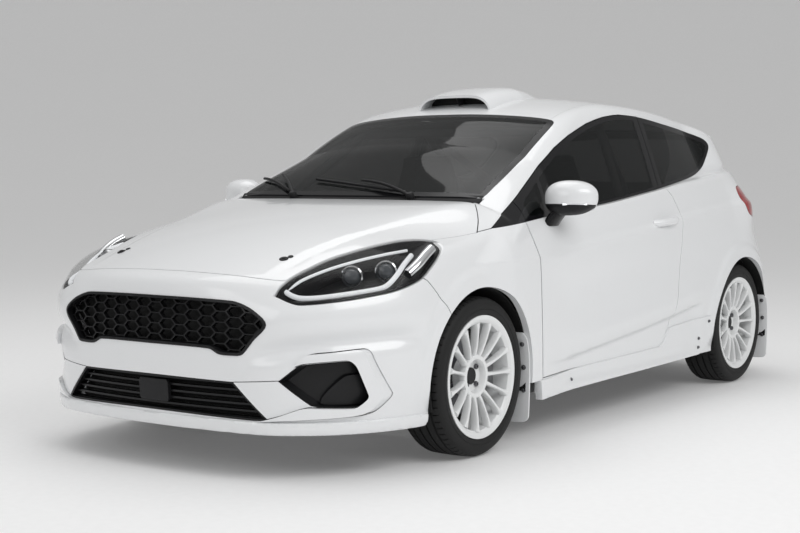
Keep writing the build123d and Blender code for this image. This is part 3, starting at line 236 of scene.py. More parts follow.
def deck_height(x, y):
    """Bonnet skin: crowned at the nose, flat between two creases where it meets the screen."""
    side = np.abs(y)
    r = 2900.0 - y * y / (2 * 3270.0)
    reach = (x - (FRONT_X - 1250.2)) ** 2
    crowned = -1930.6 + np.sqrt(np.maximum(r * r - reach, 1.0))
    middle = -1930.6 + np.sqrt(np.maximum(2900.0 ** 2 - reach, 1.0))
    off = side - np.interp(x, (870, 1136, 1316, 1500, 1686, 1900), (670, 582, 528, 482, 449, 430))
    fall = 0.55 * 22.0 * np.logaddexp(0.0, off / 22.0)
    flat = middle - side * side / 90000.0 - fall
    share = ease((1420.0 - x) / 550.0)
    dome = -6.0 * ease((off + 10) / 46.0)
    return flat * share + (1 - share) * (crowned + dome * ease((FRONT_X - 90 - x) / 250.0))


def belt_height(x):
    """Height of the body's upper edge under the windows."""
    return 875.0 + 0.0927 * (COWL_X - x)


def roof_height(x, y):
    """Roof skin: a tight curve ahead of its highest line, a long one behind it, straight down the screen."""
    def arc(radius, along, drop):
        reach = (radius - drop) ** 2 - (along - ROOF_TOP_X) ** 2
        return ROOF_TOP - radius + np.sqrt(np.maximum(reach, 1.0))

    drop = y * y / 6722.0
    turn = np.minimum(x, SCREEN_TOP_X)
    front = arc(1600.0, turn, 0.0)
    crown = (front - arc(1600.0, turn, drop)) * (1 - ease((x - 330.0) / 480.0))
    front = front - crown - 0.59 * np.maximum(x - SCREEN_TOP_X, 0)
    return np.where(x > ROOF_TOP_X, front, arc(5760.0, x, drop))


def crease_height(x):
    """Height of the shoulder line along the side."""
    return np.interp(x, (-1900, -1400, -915, -634, -323, 246, 710, 865, 1100),
                     (955, 925, 888, 861, 828, 786, 723, 706, 680))


def wedge_height(x):
    """Height of the pressed line that rises over the sill."""
    return np.interp(x, (-1100, -778, -551, -253, 92, 409, 732), (470, 435, 405, 372, 340, 310, 292))


def side_relief(x, y, z):
    """Shape pressed into the flanks: shoulder, wedge over the sill and flared arch lips."""
    weight = ease((np.abs(y) - 640) / 90.0)
    rise = z - crease_height(x)
    run = ease((x + 1850) / 300.0) * ease((870 - x) / 290.0)
    shoulder = 13.0 * np.exp(-np.maximum(-rise, 0) / 60.0) * ease((20 - rise) / 40.0) * run
    hollow = -14.0 * np.exp(-((rise + 170) / 105.0) ** 2) * run
    drop = z - wedge_height(x)
    wedge_run = ease((x + 900) / 150.0) * ease((740 - x) / 120.0)
    wedge = -19.0 * ease((10 - drop) / 26.0) * wedge_run * ease((z - 190) / 30.0)
    swell = 10.0 * np.exp(-((drop - 62) / 60.0) ** 2) * ease((x + 1000) / 300.0) * ease((700 - x) / 700.0)
    flare = 0.0
    for axle in (FRONT_AXLE_X, REAR_AXLE_X):
        reach = np.hypot(x - axle, z - HUB_Z)
        flare = flare + 13.0 * ease((428 - reach) / 44.0) * ease((z - 180) / 120.0)
    return weight * (shoulder + hollow + wedge + swell + flare)


def front_relief(x, y, z):
    """Valley pressed into the bumper corners above the fog lamps."""
    side = np.abs(y)
    over = z - np.interp(side, (380, 453, 523, 579, 661, 753, 840), (398, 415, 430, 442, 454, 463, 470))
    share = ease((side - 390) / 150.0) * ease((x - 1480) / 160.0)
    valley = -22.0 * np.exp(-((over - 30) / 32.0) ** 2)
    brow = 5.0 * np.exp(-((z - 585 - 0.05 * (side - 500)) / 45.0) ** 2)
    return share * (valley + brow * ease((side - 470) / 120.0))


def rear_relief(x, y, z):
    """Fuller corners that carry the tail lamps."""
    share = ease((-x - 1300) / 240.0) * ease((np.abs(y) - 420) / 200.0)
    return share * 36.0 * np.exp(-((z - 915) / 120.0) ** 2)


def house_relief(x, y, z):
    """Fuller feet of the screen pillars and fuller rear pillars of the glasshouse."""
    side = np.abs(y)
    foot = 0.254 * np.clip(x - 397, 0,
                           560) + 34.0 * ease((x - 250) / 300.0) * (1 - ease((side - 420) / 160.0))
    band = ease((z - 1040) / 90.0) * (1 - ease((z - 1290) / 110.0))
    rear = 50.0 * ease((-x - 1180) / 300.0) * band * ease((side - 380) / 180.0)
    return foot + rear


def body_field(x, y, z):
    """Signed gap to the whole painted body, negative inside."""
    lower = lower_ring(x, y, z) - side_relief(x, y, z) - front_relief(x, y, z) - rear_relief(x, y, z)
    deck_share = ease((x - 826) / 40.0)
    top = z - (deck_height(x, y) * deck_share + belt_height(x) * (1 - deck_share))
    lower = soft_max(lower, top, 26.0)
    return soft_min(lower, glass_field(x, y, z), 22.0)


def glass_field(x, y, z):
    """Signed gap to the glasshouse alone."""
    return soft_max(glass_ring(x, y, z) - house_relief(x, y, z), z - roof_height(x, y), 46.0)


def field_slope(field, p, step=3.0):
    """Gradient of a field at points."""
    g = np.empty_like(p)
    for axis in range(3):
        d = np.zeros(3)
        d[axis] = step
        q = p + d
        r = p - d
        g[:, axis] = (field(q[:, 0], q[:, 1], q[:, 2]) - field(r[:, 0], r[:, 1], r[:, 2])) / (2 * step)
    return g


def surface_net(values, origin, step):
    """Closed quad surface where a grid of values changes sign."""
    inside = values < 0
    shape = values.shape
    corners = [(i, j, k) for i in (0, 1) for j in (0, 1) for k in (0, 1)]
    cells = tuple(n - 1 for n in shape)
    total = np.zeros(cells, dtype=np.int8)
    for i, j, k in corners:
        total += inside[i:i + cells[0], j:j + cells[1], k:k + cells[2]]
    active = (total > 0) & (total < 8)
    where = np.argwhere(active)
    index = np.full(cells, -1, dtype=np.int64)
    index[active] = np.arange(len(where))
    place = np.zeros((len(where), 3))
    weight = np.zeros(len(where))
    pairs = [(a, b) for a in corners for b in corners if a < b]
    edges = [(a, b) for a, b in pairs if sum(abs(p - q) for p, q in zip(a, b)) == 1]
    for a, b in edges:
        va = values[where[:, 0] + a[0], where[:, 1] + a[1], where[:, 2] + a[2]]
        vb = values[where[:, 0] + b[0], where[:, 1] + b[1], where[:, 2] + b[2]]
        cross = (va < 0) != (vb < 0)
        t = np.where(cross, va / np.where(cross, va - vb, 1.0), 0.0)
        for axis in range(3):
            place[:, axis] += np.where(cross, a[axis] + (b[axis] - a[axis]) * t, 0.0)
        weight += cross
    place = (where + place / weight[:, None]) * step + origin
    faces = []
    for axis in range(3):
        u, v = (axis + 1) % 3, (axis + 2) % 3
        lo = [slice(None)] * 3
        hi = [slice(None)] * 3
        lo[axis] = slice(0, shape[axis] - 1)
        hi[axis] = slice(1, shape[axis])
        change = inside[tuple(lo)] != inside[tuple(hi)]
        sub = [slice(None)] * 3
        sub[u] = slice(1, shape[u] - 1)
        sub[v] = slice(1, shape[v] - 1)
        spots = np.argwhere(change[tuple(sub)])
        spots[:, u] += 1
        spots[:, v] += 1
        ring = []
        for du, dv in ((0, 0), (-1, 0), (-1, -1), (0, -1)):
            c = spots.copy()
            c[:, u] += du
            c[:, v] += dv
            ring.append(index[c[:, 0], c[:, 1], c[:, 2]])
        quad = np.stack(ring, axis=1)
        turn = inside[spots[:, 0], spots[:, 1], spots[:, 2]]
        faces.append(np.where(turn[:, None], quad, quad[:, ::-1]))
    return place, np.concatenate(faces)


def sampled(field, low, high, step):
    """Values of a field on a grid, worked out in slabs, and the grid's corner."""
    axes = [np.arange(low[i], high[i] + step, step) for i in range(3)]
    x, y, z = np.meshgrid(*axes, indexing="ij")
    values = np.empty(x.shape)
    for i in range(0, x.shape[0], 40):
        values[i:i + 40] = field(x[i:i + 40], y[i:i + 40], z[i:i + 40])
    return values, np.array(low, dtype=float)


def settle(field, points, level=0.0, rounds=3):
    """Moves points onto one level of a field."""
    p = points.copy()
    for _ in range(rounds):
        g = field_slope(field, p)
        v = field(p[:, 0], p[:, 1], p[:, 2]) - level
        p -= np.clip(v / np.maximum((g * g).sum(axis=1), 0.2), -20, 20)[:, None] * g
    return p


def mesh_object(name, points, faces):
    """Object from arrays of points in millimetres and faces of equal size."""
    mesh = bpy.data.meshes.new(name)
    points = np.asarray(points, dtype=np.float32) * 0.001
    faces = np.asarray(faces, dtype=np.int32)
    mesh.vertices.add(len(points))
    mesh.vertices.foreach_set("co", points.ravel())
    mesh.loops.add(faces.size)
    mesh.loops.foreach_set("vertex_index", faces.ravel())
    mesh.polygons.add(len(faces))
    mesh.polygons.foreach_set("loop_start", np.arange(0, faces.size, faces.shape[1], dtype=np.int32))
    mesh.update(calc_edges=True)
    mesh.validate()
    thing = bpy.data.objects.new(name, mesh)
    bpy.context.scene.collection.objects.link(thing)
    return thing


def field_solid(name, field, low, high, step, depth=0.0, floor=150.0):
    """Closed mesh of one level of a field, with a flat bottom at the floor height."""
    def closed(x, y, z):
        return np.maximum(field(x, y, z), floor - z)

    low = (low[0], low[1], floor - 2.5 * step)
    values, origin = sampled(field, low, high, step)
    if depth:
        slope = np.sqrt(sum(g * g for g in np.gradient(values, step)))
        values = values / np.clip(slope, 0.5, 3.0) + depth
    heights = origin[2] + step * np.arange(values.shape[2])
    values = np.maximum(values, (floor - heights)[None, None, :])
    points, faces = surface_net(values, origin, step)
    if not depth:
        points = settle(closed, points)
    return mesh_object(name, points, faces)


# Cutting tools

def spline(points, closed=True, per=8):
    """Smooth line through plan points; a point given twice stays a sharp corner."""
    pts = [np.array(p, dtype=float) for p in points]
    n = len(pts)
    out = []
    last = n if closed else n - 1
    for i in range(last):
        p1, p2 = pts[i], pts[(i + 1) % n]
        if np.allclose(p1, p2):
            continue
        p0 = pts[(i - 1) % n] if closed or i > 0 else p1
        p3 = pts[(i + 2) % n] if closed or i + 2 < n else p2
        if np.allclose(p0, p1):
            p0 = 2 * p1 - p2
        if np.allclose(p3, p2):
            p3 = 2 * p2 - p1
        m1 = (p2 - p0) / 2
        m2 = (p3 - p1) / 2
        reach = np.linalg.norm(p2 - p1)
        for m in (m1, m2):
            size = np.linalg.norm(m)
            if size > reach:
                m *= reach / size
        for k in range(per):
            t = k / per
            out.append((2 * t ** 3 - 3 * t ** 2 + 1) * p1 + (t ** 3 - 2 * t ** 2 + t) * m1
                       + (3 * t ** 2 - 2 * t ** 3) * p2 + (t ** 3 - t ** 2) * m2)
    if not closed:
        out.append(pts[-1])
    return np.array(out)


def turns_left(line):
    """Whether a closed line runs anticlockwise."""
    return np.sum(line[:, 0] * np.roll(line[:, 1], -1) - np.roll(line[:, 0], -1) * line[:, 1]) > 0


def moved_out(line, gap):
    """Closed line shifted outward by gap."""
    line = np.asarray(line, dtype=float)
    before = line - np.roll(line, 1, axis=0)
    after = np.roll(line, -1, axis=0) - line
    before /= np.maximum(np.linalg.norm(before, axis=1), 1e-9)[:, None]
    after /= np.maximum(np.linalg.norm(after, axis=1), 1e-9)[:, None]
    sign = 1 if turns_left(line) else -1
    n1 = np.stack([before[:, 1], -before[:, 0]], axis=1) * sign
    n2 = np.stack([after[:, 1], -after[:, 0]], axis=1) * sign
    n = n1 + n2
    size = np.linalg.norm(n, axis=1)
    n /= np.maximum(size, 1e-9)[:, None]
    scale = gap / np.clip((n * n1).sum(axis=1), 0.35, 1)
    return line + n * scale[:, None]


def prism(line, axis, low, high):
    """Closed solid from a closed line carried along one axis."""
    line = np.asarray(line, dtype=float)
    n = len(line)
    u, v = {"x": (1, 2), "y": (0, 2), "z": (0, 1)}[axis]
    w = {"x": 0, "y": 1, "z": 2}[axis]
    verts = np.zeros((2 * n, 3))
    for i, level in enumerate((low, high)):
        verts[i * n:(i + 1) * n, u] = line[:, 0]
        verts[i * n:(i + 1) * n, v] = line[:, 1]
        verts[i * n:(i + 1) * n, w] = level
    forward = turns_left(line) == (axis != "y")
    faces = []
    for i in range(n):
        j = (i + 1) % n
        quad = (i, j, n + j, n + i)
        faces.append(quad if forward else quad[::-1])
    low_face = tuple(range(n))
    high_face = tuple(range(n, 2 * n))
    faces.append(low_face[::-1] if forward else low_face)
    faces.append(high_face if forward else high_face[::-1])
    return poly_object("tool", verts, faces)


def poly_object(name, verts, faces):
    """Object from lists of points in millimetres and faces of any size."""
    mesh = bpy.data.meshes.new(name)
    mesh.from_pydata([tuple(c * 0.001 for c in v) for v in verts], [],
                     [tuple(int(i) for i in f) for f in faces])
    mesh.update()
    thing = bpy.data.objects.new(name, mesh)
    bpy.context.scene.collection.objects.link(thing)
    return thing


def front_prism(line, start=1750):
    """Solid from an outline seen from the front, through the nose of the car."""
    return prism(line, "x", start, 2100)


def side_prism(line):
    """Solid from an outline seen from the side, through the left flank."""
    return prism(line, "y", 300, 960)


def cross_prism(line):
    """Solid from an outline seen from the side, across the whole car."""
    return prism(line, "y", -960, 960)


def grid_faces(rows, columns, round_rows=False, round_columns=False, flip=False):
    """Quads of a grid of points, row after row; rows or columns may run round."""
    faces = []
    for i in range(rows if round_rows else rows - 1):
        j = (i + 1) % rows
        for k in range(columns if round_columns else columns - 1):
            m = (k + 1) % columns
            a, b, c, d = i * columns + k, i * columns + m, j * columns + m, j * columns + k
            faces.append((a, d, c, b) if flip else (a, b, c, d))
    return faces


def box_tool(x0, x1, y0, y1, z0, z1):
    """Plain block used to cut other solids."""
    return prism([(x0, y0), (x1, y0), (x1, y1), (x0, y1)], "z", z0, z1)


def turned(profile, origin, axis, count=96):
    """Closed solid of revolution; profile rows are radius and place, the first and last at radius 0."""
    ring = np.asarray(profile, dtype=float)
    axis = np.array(axis, dtype=float)
    axis /= np.linalg.norm(axis)
    helper = np.array((1.0, 0, 0)) if abs(axis[0]) < 0.9 else np.array((0, 0, 1.0))
    side = np.cross(axis, helper)
    side /= np.linalg.norm(side)
    other = np.cross(axis, side)
    angles = np.linspace(0, 2 * math.pi, count, endpoint=False)
    verts = []
    rows = []
    for radius, place in ring:
        base = np.array(origin) + axis * place
        if radius < 1e-6:
            rows.append([len(verts)])
            verts.append(base)
        else:
            rows.append(list(range(len(verts), len(verts) + count)))
            for a in angles:
                verts.append(base + radius * (math.cos(a) * side + math.sin(a) * other))
    faces = []
    for r0, r1 in zip(rows, rows[1:]):
        for k in range(count):
            m = (k + 1) % count
            if len(r0) == 1 and len(r1) > 1:
                faces.append((r0[0], r1[m], r1[k]))
            elif len(r1) == 1 and len(r0) > 1:
                faces.append((r0[k], r0[m], r1[0]))
            elif len(r0) > 1:
                faces.append((r0[k], r0[m], r1[m], r1[k]))
    return poly_object("tool", verts, faces)


def drum(x, z, radius, y0, y1):
    """Cross-car cylinder used to cut other solids."""
    return turned([(0, y0), (radius, y0), (radius, y1), (0, y1)], (x, 0, z), (0, 1, 0), 160)


def combine(base, tool, how, keep=True):
    """Boolean of two closed solids, applied to base."""
    step = base.modifiers.new("cut", "BOOLEAN")
    step.operation = how
    step.object = tool
    step.solver = "MANIFOLD"
    with bpy.context.temp_override(object=base, active_object=base):
        bpy.ops.object.modifier_apply(modifier="cut")
    if not keep:
        drop(tool)
    return base


def drop(thing):
    """Removes an object and its mesh."""
    mesh = thing.data
    bpy.data.objects.remove(thing)
    if mesh.users == 0:
        bpy.data.meshes.remove(mesh)


def copy_of(thing, name):
    twin = thing.copy()
    twin.data = thing.data.copy()
    twin.name = name
    twin.data.name = name
    bpy.context.scene.collection.objects.link(twin)
    return twin


def carve(name, base, keep=(), cut=()):
    """Copy of base kept inside every tool of keep and outside every tool of cut."""
    piece = copy_of(base, name)
    for tool in keep:
        combine(piece, tool, "INTERSECT")
    for tool in cut:
        combine(piece, tool, "DIFFERENCE")
    return piece


def points_of(thing):
    """Points of an object's mesh, in millimetres."""
    data = np.empty(len(thing.data.vertices) * 3, dtype=np.float32)
    thing.data.vertices.foreach_get("co", data)
    return data.reshape(-1, 3).astype(float) * 1000


def move_points(thing, points):
    """Gives an object's mesh new points, in millimetres."""
    thing.data.vertices.foreach_set("co", (points * 0.001).astype(np.float32).ravel())
    thing.data.update()


def mirrored(thing, name):
    """Copy of an object on the other side of the car."""
    twin = copy_of(thing, name)
    move_points(twin, points_of(twin) * (1, -1, 1))
    twin.data.flip_normals()
    twin.data.update()
    return twin


def skin_normals(thing, field, band=1.2):
    """True normals on the skin, flat ones on cut edges."""
    mesh = thing.data
    p = points_of(thing)
    gap = np.abs(field(p[:, 0], p[:, 1], p[:, 2]))
    g = field_slope(field, p)
    g /= np.maximum(np.linalg.norm(g, axis=1), 1e-9)[:, None]
    loops = np.empty(len(mesh.loops), dtype=np.int32)
    mesh.loops.foreach_get("vertex_index", loops)
    start = np.empty(len(mesh.polygons), dtype=np.int32)
    total = np.empty(len(mesh.polygons), dtype=np.int32)
    flat = np.empty(len(mesh.polygons) * 3, dtype=np.float32)
    mesh.polygons.foreach_get("loop_start", start)
    mesh.polygons.foreach_get("loop_total", total)
    mesh.polygons.foreach_get("normal", flat)
    flat = flat.reshape(-1, 3)
    owner = np.repeat(np.arange(len(start)), total)
    worst = np.zeros(len(start))
    np.maximum.at(worst, owner, gap[loops])
    along = (g[loops] * flat[owner]).sum(axis=1)
    agree = np.ones(len(start))
    np.minimum.at(agree, owner, along)
    against = -np.ones(len(start))
    np.maximum.at(against, owner, along)
    skin = (worst < band) & (agree > 0.3)
    inside = (worst >= band) & (against < -0.86)
    normals = np.where(inside[owner][:, None], -g[loops], flat[owner])
    normals = np.where(skin[owner][:, None], g[loops], normals)
    mesh.polygons.foreach_set("use_smooth", np.ones(len(start), dtype=bool))
    mesh.normals_split_custom_set(normals.tolist())


def smooth_by_angle(thing, degrees=32.0):
    """Smooth shading with sharp edges where faces meet at more than an angle."""
    mesh = thing.data
    mesh.polygons.foreach_set("use_smooth", np.ones(len(mesh.polygons), dtype=bool))
    with bpy.context.temp_override(object=thing, active_object=thing, selected_objects=[thing],
                                   selected_editable_objects=[thing]):
        mesh.set_sharp_from_angle(angle=math.radians(degrees))
    return thing


def rounded(thing, width, segments=2, degrees=35.0):
    """Bevels the sharp edges of an object."""
    step = thing.modifiers.new("soft edges", "BEVEL")
    step.width = width * 0.001
    step.segments = segments
    step.limit_method = "ANGLE"
    step.angle_limit = math.radians(degrees)
    step.harden_normals = False
    with bpy.context.temp_override(object=thing, active_object=thing):
        bpy.ops.object.modifier_apply(modifier=step.name)
    return smooth_by_angle(thing)


# Materials

def shader(name, colour, roughness, metallic=0.0, coat=0.0, grain=(400.0, 0.02), bump=0.0, spread=0.03,
           transmission=0.0, alpha=1.0, ior=1.45, glow=0.0, spec=0.5):
    """Principled surface whose colour and roughness vary a little with a fine procedural grain."""
    mat = bpy.data.materials.new(name)
    mat.use_nodes = True
    tree = mat.node_tree
    base = tree.nodes["Principled BSDF"]
    place = tree.nodes.new("ShaderNodeTexCoord")
    noise = tree.nodes.new("ShaderNodeTexNoise")
    noise.inputs["Scale"].default_value = grain[0]
    noise.inputs["Detail"].default_value = 4.0
    tree.links.new(place.outputs["Object"], noise.inputs["Vector"])
    ramp = tree.nodes.new("ShaderNodeValToRGB")
    dark = [max(c * (1 - spread), 0.0) for c in colour]
    light = [min(c * (1 + spread), 1.0) for c in colour]
    ramp.color_ramp.elements[0].color = (*dark, 1)
    ramp.color_ramp.elements[1].color = (*light, 1)
    ramp.color_ramp.elements[0].position = 0.3
    ramp.color_ramp.elements[1].position = 0.7
    tree.links.new(noise.outputs["Fac"], ramp.inputs["Fac"])
    tree.links.new(ramp.outputs["Color"], base.inputs["Base Color"])
    rough = tree.nodes.new("ShaderNodeMapRange")
    rough.inputs["To Min"].default_value = max(roughness - grain[1], 0.0)
    rough.inputs["To Max"].default_value = min(roughness + grain[1], 1.0)
    tree.links.new(noise.outputs["Fac"], rough.inputs["Value"])
    tree.links.new(rough.outputs["Result"], base.inputs["Roughness"])
    base.inputs["Metallic"].default_value = metallic
    base.inputs["Specular IOR Level"].default_value = spec
    base.inputs["Coat Weight"].default_value = coat
    base.inputs["Coat Roughness"].default_value = 0.04
    base.inputs["Transmission Weight"].default_value = transmission
    base.inputs["IOR"].default_value = ior
    base.inputs["Alpha"].default_value = alpha
    if glow:
        base.inputs["Emission Color"].default_value = (*colour, 1)
        base.inputs["Emission Strength"].default_value = glow
    if bump:
        lift = tree.nodes.new("ShaderNodeBump")
        lift.inputs["Strength"].default_value = bump
        lift.inputs["Distance"].default_value = 0.001
        tree.links.new(noise.outputs["Fac"], lift.inputs["Height"])
        tree.links.new(lift.outputs["Normal"], base.inputs["Normal"])
    return mat


paint = shader("white_paint", (0.80, 0.81, 0.82), 0.28, coat=0.7, grain=(900.0, 0.02), spread=0.012)
wheel_white = shader("wheel_white", (0.80, 0.81, 0.81), 0.32, coat=0.4, grain=(700.0, 0.03), spread=0.02)
black_gloss = shader("black_gloss", (0.006, 0.006, 0.007), 0.14, grain=(300.0, 0.03), spread=0.2, spec=0.22)
black_matt = shader("black_plastic", (0.012, 0.012, 0.013), 0.5, grain=(1500.0, 0.08), bump=0.15, spread=0.2,
                    spec=0.3)
# Near-black and rough; black_deep also paints the shade disc behind the wheel spokes
black_deep = shader("black_deep", (0.006, 0.006, 0.006), 0.85, grain=(200.0, 0.05), spread=0.2)
rubber = shader("tyre_rubber", (0.011, 0.011, 0.011), 0.62, grain=(600.0, 0.08), bump=0.12, spread=0.25,
                spec=0.35)
window = shader("window_glass", (0.004, 0.005, 0.005), 0.02, grain=(4.0, 0.004), spread=0.1, alpha=0.66,
                spec=0.2)
lens_clear = shader("lamp_lens", (0.01, 0.01, 0.011), 0.02, grain=(5.0, 0.005), spread=0.1, alpha=0.14,
                    spec=0.3)
lens_red = shader("tail_lens", (0.30, 0.006, 0.008), 0.10, coat=0.6, grain=(120.0, 0.03), spread=0.25)
chrome = shader("lamp_chrome", (0.72, 0.73, 0.74), 0.12, metallic=1.0, grain=(500.0, 0.04), spread=0.04)
lamp_white = shader("lamp_guide", (0.86, 0.88, 0.90), 0.25, grain=(300.0, 0.05), spread=0.03, glow=0.45)
alloy = shader("bare_alloy", (0.34, 0.34, 0.35), 0.42, metallic=0.9, grain=(350.0, 0.10), spread=0.10)
steel = shader("disc_steel", (0.16, 0.16, 0.17), 0.40, metallic=0.9, grain=(250.0, 0.10), spread=0.15)
chassis = shader("chassis_black", (0.020, 0.020, 0.022), 0.50, grain=(300.0, 0.08), spread=0.2)
cage_grey = shader("cage_grey", (0.42, 0.43, 0.44), 0.40, grain=(500.0, 0.06), spread=0.05)
cloth = shader("seat_cloth", (0.012, 0.012, 0.013), 0.92, grain=(2200.0, 0.05), bump=0.3, spread=0.35)
suede = shader("suede_grip", (0.014, 0.014, 0.014), 0.9, grain=(1800.0, 0.06), bump=0.2, spread=0.3)
carbon = shader("interior_grey", (0.030, 0.030, 0.032), 0.6, grain=(900.0, 0.08), bump=0.1, spread=0.25)


def paint_piece(thing, mat):
    thing.data.materials.clear()
    thing.data.materials.append(mat)
    return thing


def place(thing, body, mat=None, nodes=()):
    """Gives a finished piece its material and the CAD body it moves with."""
    if mat is not None:
        paint_piece(thing, mat)
    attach(thing, body)
    if nodes:
        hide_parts(*nodes)
    placed.add(thing.name)
    return thing


def place_pair(left, body, mat, nodes=()):
    """Places a left piece and its mirror; the word left in names becomes right for the mirror."""
    place(left, body, mat, nodes)
    right = mirrored(left, left.name.replace("left", "right"))
    place(right, body.replace("left", "right"), mat,
          tuple(n.replace("left", "right") for n in nodes if "left" in n))


# Painted body: one smooth form, its inner face and a deeper one, then the panels cut from it
SKIN_LOW = (-2080, -900, 130)
SKIN_HIGH = (2080, 900, 1480)
outer = field_solid("outer", body_field, SKIN_LOW, SKIN_HIGH, 13.0, floor=160.0)
inner = field_solid("inner", body_field, SKIN_LOW, SKIN_HIGH, 26.0, 26.0, floor=110.0)
deep = field_solid("deep", body_field, SKIN_LOW, SKIN_HIGH, 34.0, 70.0, floor=90.0)
HOUSE_LOW = (-2080, -900, 760)
HOUSE_HIGH = (1200, 900, 1480)
house = field_solid("house", glass_field, HOUSE_LOW, HOUSE_HIGH, 15.0, floor=800.0)
house_in = field_solid("house_in", glass_field, HOUSE_LOW, HOUSE_HIGH, 30.0, 9.0, floor=780.0)
skin = copy_of(outer, "skin")
combine(skin, inner, "DIFFERENCE")
lining = copy_of(inner, "lining")
combine(lining, deep, "DIFFERENCE")
glazing = copy_of(house, "glazing")
combine(glazing, house_in, "DIFFERENCE")

SHUT = 4.0


def whole_line(half):
    """Closed line from its left half, whose ends lie on the middle of the car."""
    return np.concatenate([half, half[-2:0:-1] * (1, -1)])


bonnet_half = [(1952, 0), (1943, 210), (1919, 400), (1896, 496), (1880, 522), (1796, 534), (1693, 550),
               (1592, 583), (1497, 617), (1404, 654), (1340, 694), (1310, 734), (1195, 764), (1065, 788),
               (1065, 788), (988, 744), (936, 706), (884, 662), (884, 662), (882, 640), (882, 640)]
bonnet_half = spline(bonnet_half, closed=False)
bonnet_line = np.concatenate([bonnet_half[1:], bonnet_half[:0:-1] * (1, -1), bonnet_half[:1]])
screen_half = spline([(798, 0), (798, 0), (798, 500), (797, 610), (780, 640), (700, 636), (615, 628),
                      (450, 606), (256, 590), (150, 580), (96, 570), (80, 548), (100, 300), (112, 0),
                      (112, 0)], closed=False)
screen_line = whole_line(screen_half)
lamp_line = spline([(1944, 664), (1934, 650), (1922, 631), (1907, 623), (1875, 625), (1829, 631),
                    (1777, 638), (1703, 650), (1633, 661), (1557, 680), (1499, 701), (1437, 739),
                    (1377, 777), (1326, 808), (1300, 822), (1286, 832), (1286, 832), (1286, 900),
                    (1286, 900), (1944, 900), (1944, 900)])
lamp_plan = spline([(1960, 492), (1960, 492), (1933, 511), (1912, 516), (1880, 526), (1796, 538),
                    (1693, 554), (1592, 587), (1497, 621), (1404, 658), (1340, 698), (1304, 738),
                    (1300, 762), (1308, 790), (1322, 808), (1322, 1000), (1322, 1000), (1960, 1000),
                    (1960, 1000)])
grille_line = spline([(500, 552), (452, 596), (384, 622), (330, 628), (170, 632), (0, 633), (-170, 632),
                      (-330, 628), (-384, 622), (-452, 596), (-500, 552), (-452, 497), (-412, 450),
                      (-392, 444), (-318, 445), (-272, 463), (0, 466), (272, 463), (318, 445), (392, 444),
                      (412, 450), (452, 497)], per=5)
intake_line = spline([(372, 347), (372, 347), (500, 222), (500, 222), (488, 213), (0, 219), (-488, 213),
                      (-500, 222), (-500, 222), (-372, 347), (-372, 347), (0, 351)], per=6)
fog_open = spline([(539, 356), (539, 356), (596, 407), (596, 407), (623, 416), (732, 426), (744, 418),
                   (753, 399), (771, 304), (768, 288), (752, 268), (740, 260), (655, 264), (630, 270),
                   (630, 270)], per=5)
fog_frame = spline([(597, 410), (597, 410), (629, 447), (690, 456), (753, 464), (766, 458), (776, 440),
                    (803, 308), (799, 286), (772, 244), (740, 231), (640, 224), (540, 218), (474, 213),
                    (474, 213), (540, 232), (618, 262), (655, 262), (742, 258), (755, 266), (772, 288),
                    (775, 304), (757, 400), (747, 421), (732, 430), (623, 420), (600, 411), (600, 411)],
                   per=5)
daylight_line = spline([(984, 862), (984, 862), (800, 938), (612, 1017), (397, 1108), (231, 1188), (84, 1243),
                        (-121, 1302), (-291, 1336), (-457, 1352), (-657, 1346), (-898, 1323), (-1189, 1292),
                        (-1345, 1256), (-1380, 1222), (-1322, 1162), (-1231, 1098), (-1063, 1058),
                        (-627, 1003), (-413, 981), (-66, 946), (155, 928), (558, 896), (738, 882)], per=6)
window_line = spline([(690, 906), (690, 906), (690, 950), (612, 990), (397, 1082), (231, 1160), (84, 1216),
                      (-121, 1276), (-291, 1311), (-457, 1328), (-590, 1326), (-590, 1326), (-560, 1010),
                      (-560, 1010), (-413, 992), (-66, 957), (155, 940), (558, 910)], per=6)
quarter_line = spline([(-690, 1318), (-690, 1318), (-898, 1298), (-1189, 1265), (-1318, 1236), (-1342, 1214),
                       (-1300, 1166), (-1215, 1112), (-1056, 1074), (-668, 1022), (-668, 1022)], per=6)
door_front = spline([(690, 256), (690, 256), (694, 400), (702, 546), (716, 691), (728, 800), (740, 873),
                     (735, 905), (735, 905)], closed=False)
door_top = [(735, 960), (612, 1014), (397, 1105), (231, 1185), (84, 1240), (-121, 1299), (-291, 1333),
            (-457, 1349), (-640, 1345), (-760, 1340), (-760, 262)]
door_line = np.concatenate([door_front, door_top])
bumper_line = [(2100, 100), (2100, 800), (1700, 800), (1500, 702), (1478, 690), (1430, 640), (1360, 560),
               (1340, 540), (1340, 100)]
fender_rest = [(745, 903), (984, 861), (1065, 850), (1090, 960), (1760, 960), (1760, 246), (698, 246)]
fender_line = np.concatenate([door_front[:-1] + (8.0, 0.0), fender_rest])

bonnet_tool = prism(moved_out(bonnet_line, -SHUT / 2), "z", 560, 1120)
bonnet_hole = prism(moved_out(bonnet_line, SHUT / 2), "z", 560, 1120)
screen_tool = prism(moved_out(screen_line, -1.0), "z", 880, 1480)
screen_hole = prism(screen_line, "z", 930, 1480)


def lamp_volume(grow):
    """Space of the left headlight, from its side outline and its plan outline."""
    volume = prism(moved_out(lamp_line, grow), "y", 440, 980)
    return combine(volume, prism(moved_out(lamp_plan, grow), "z", 560, 940), "INTERSECT", keep=False)


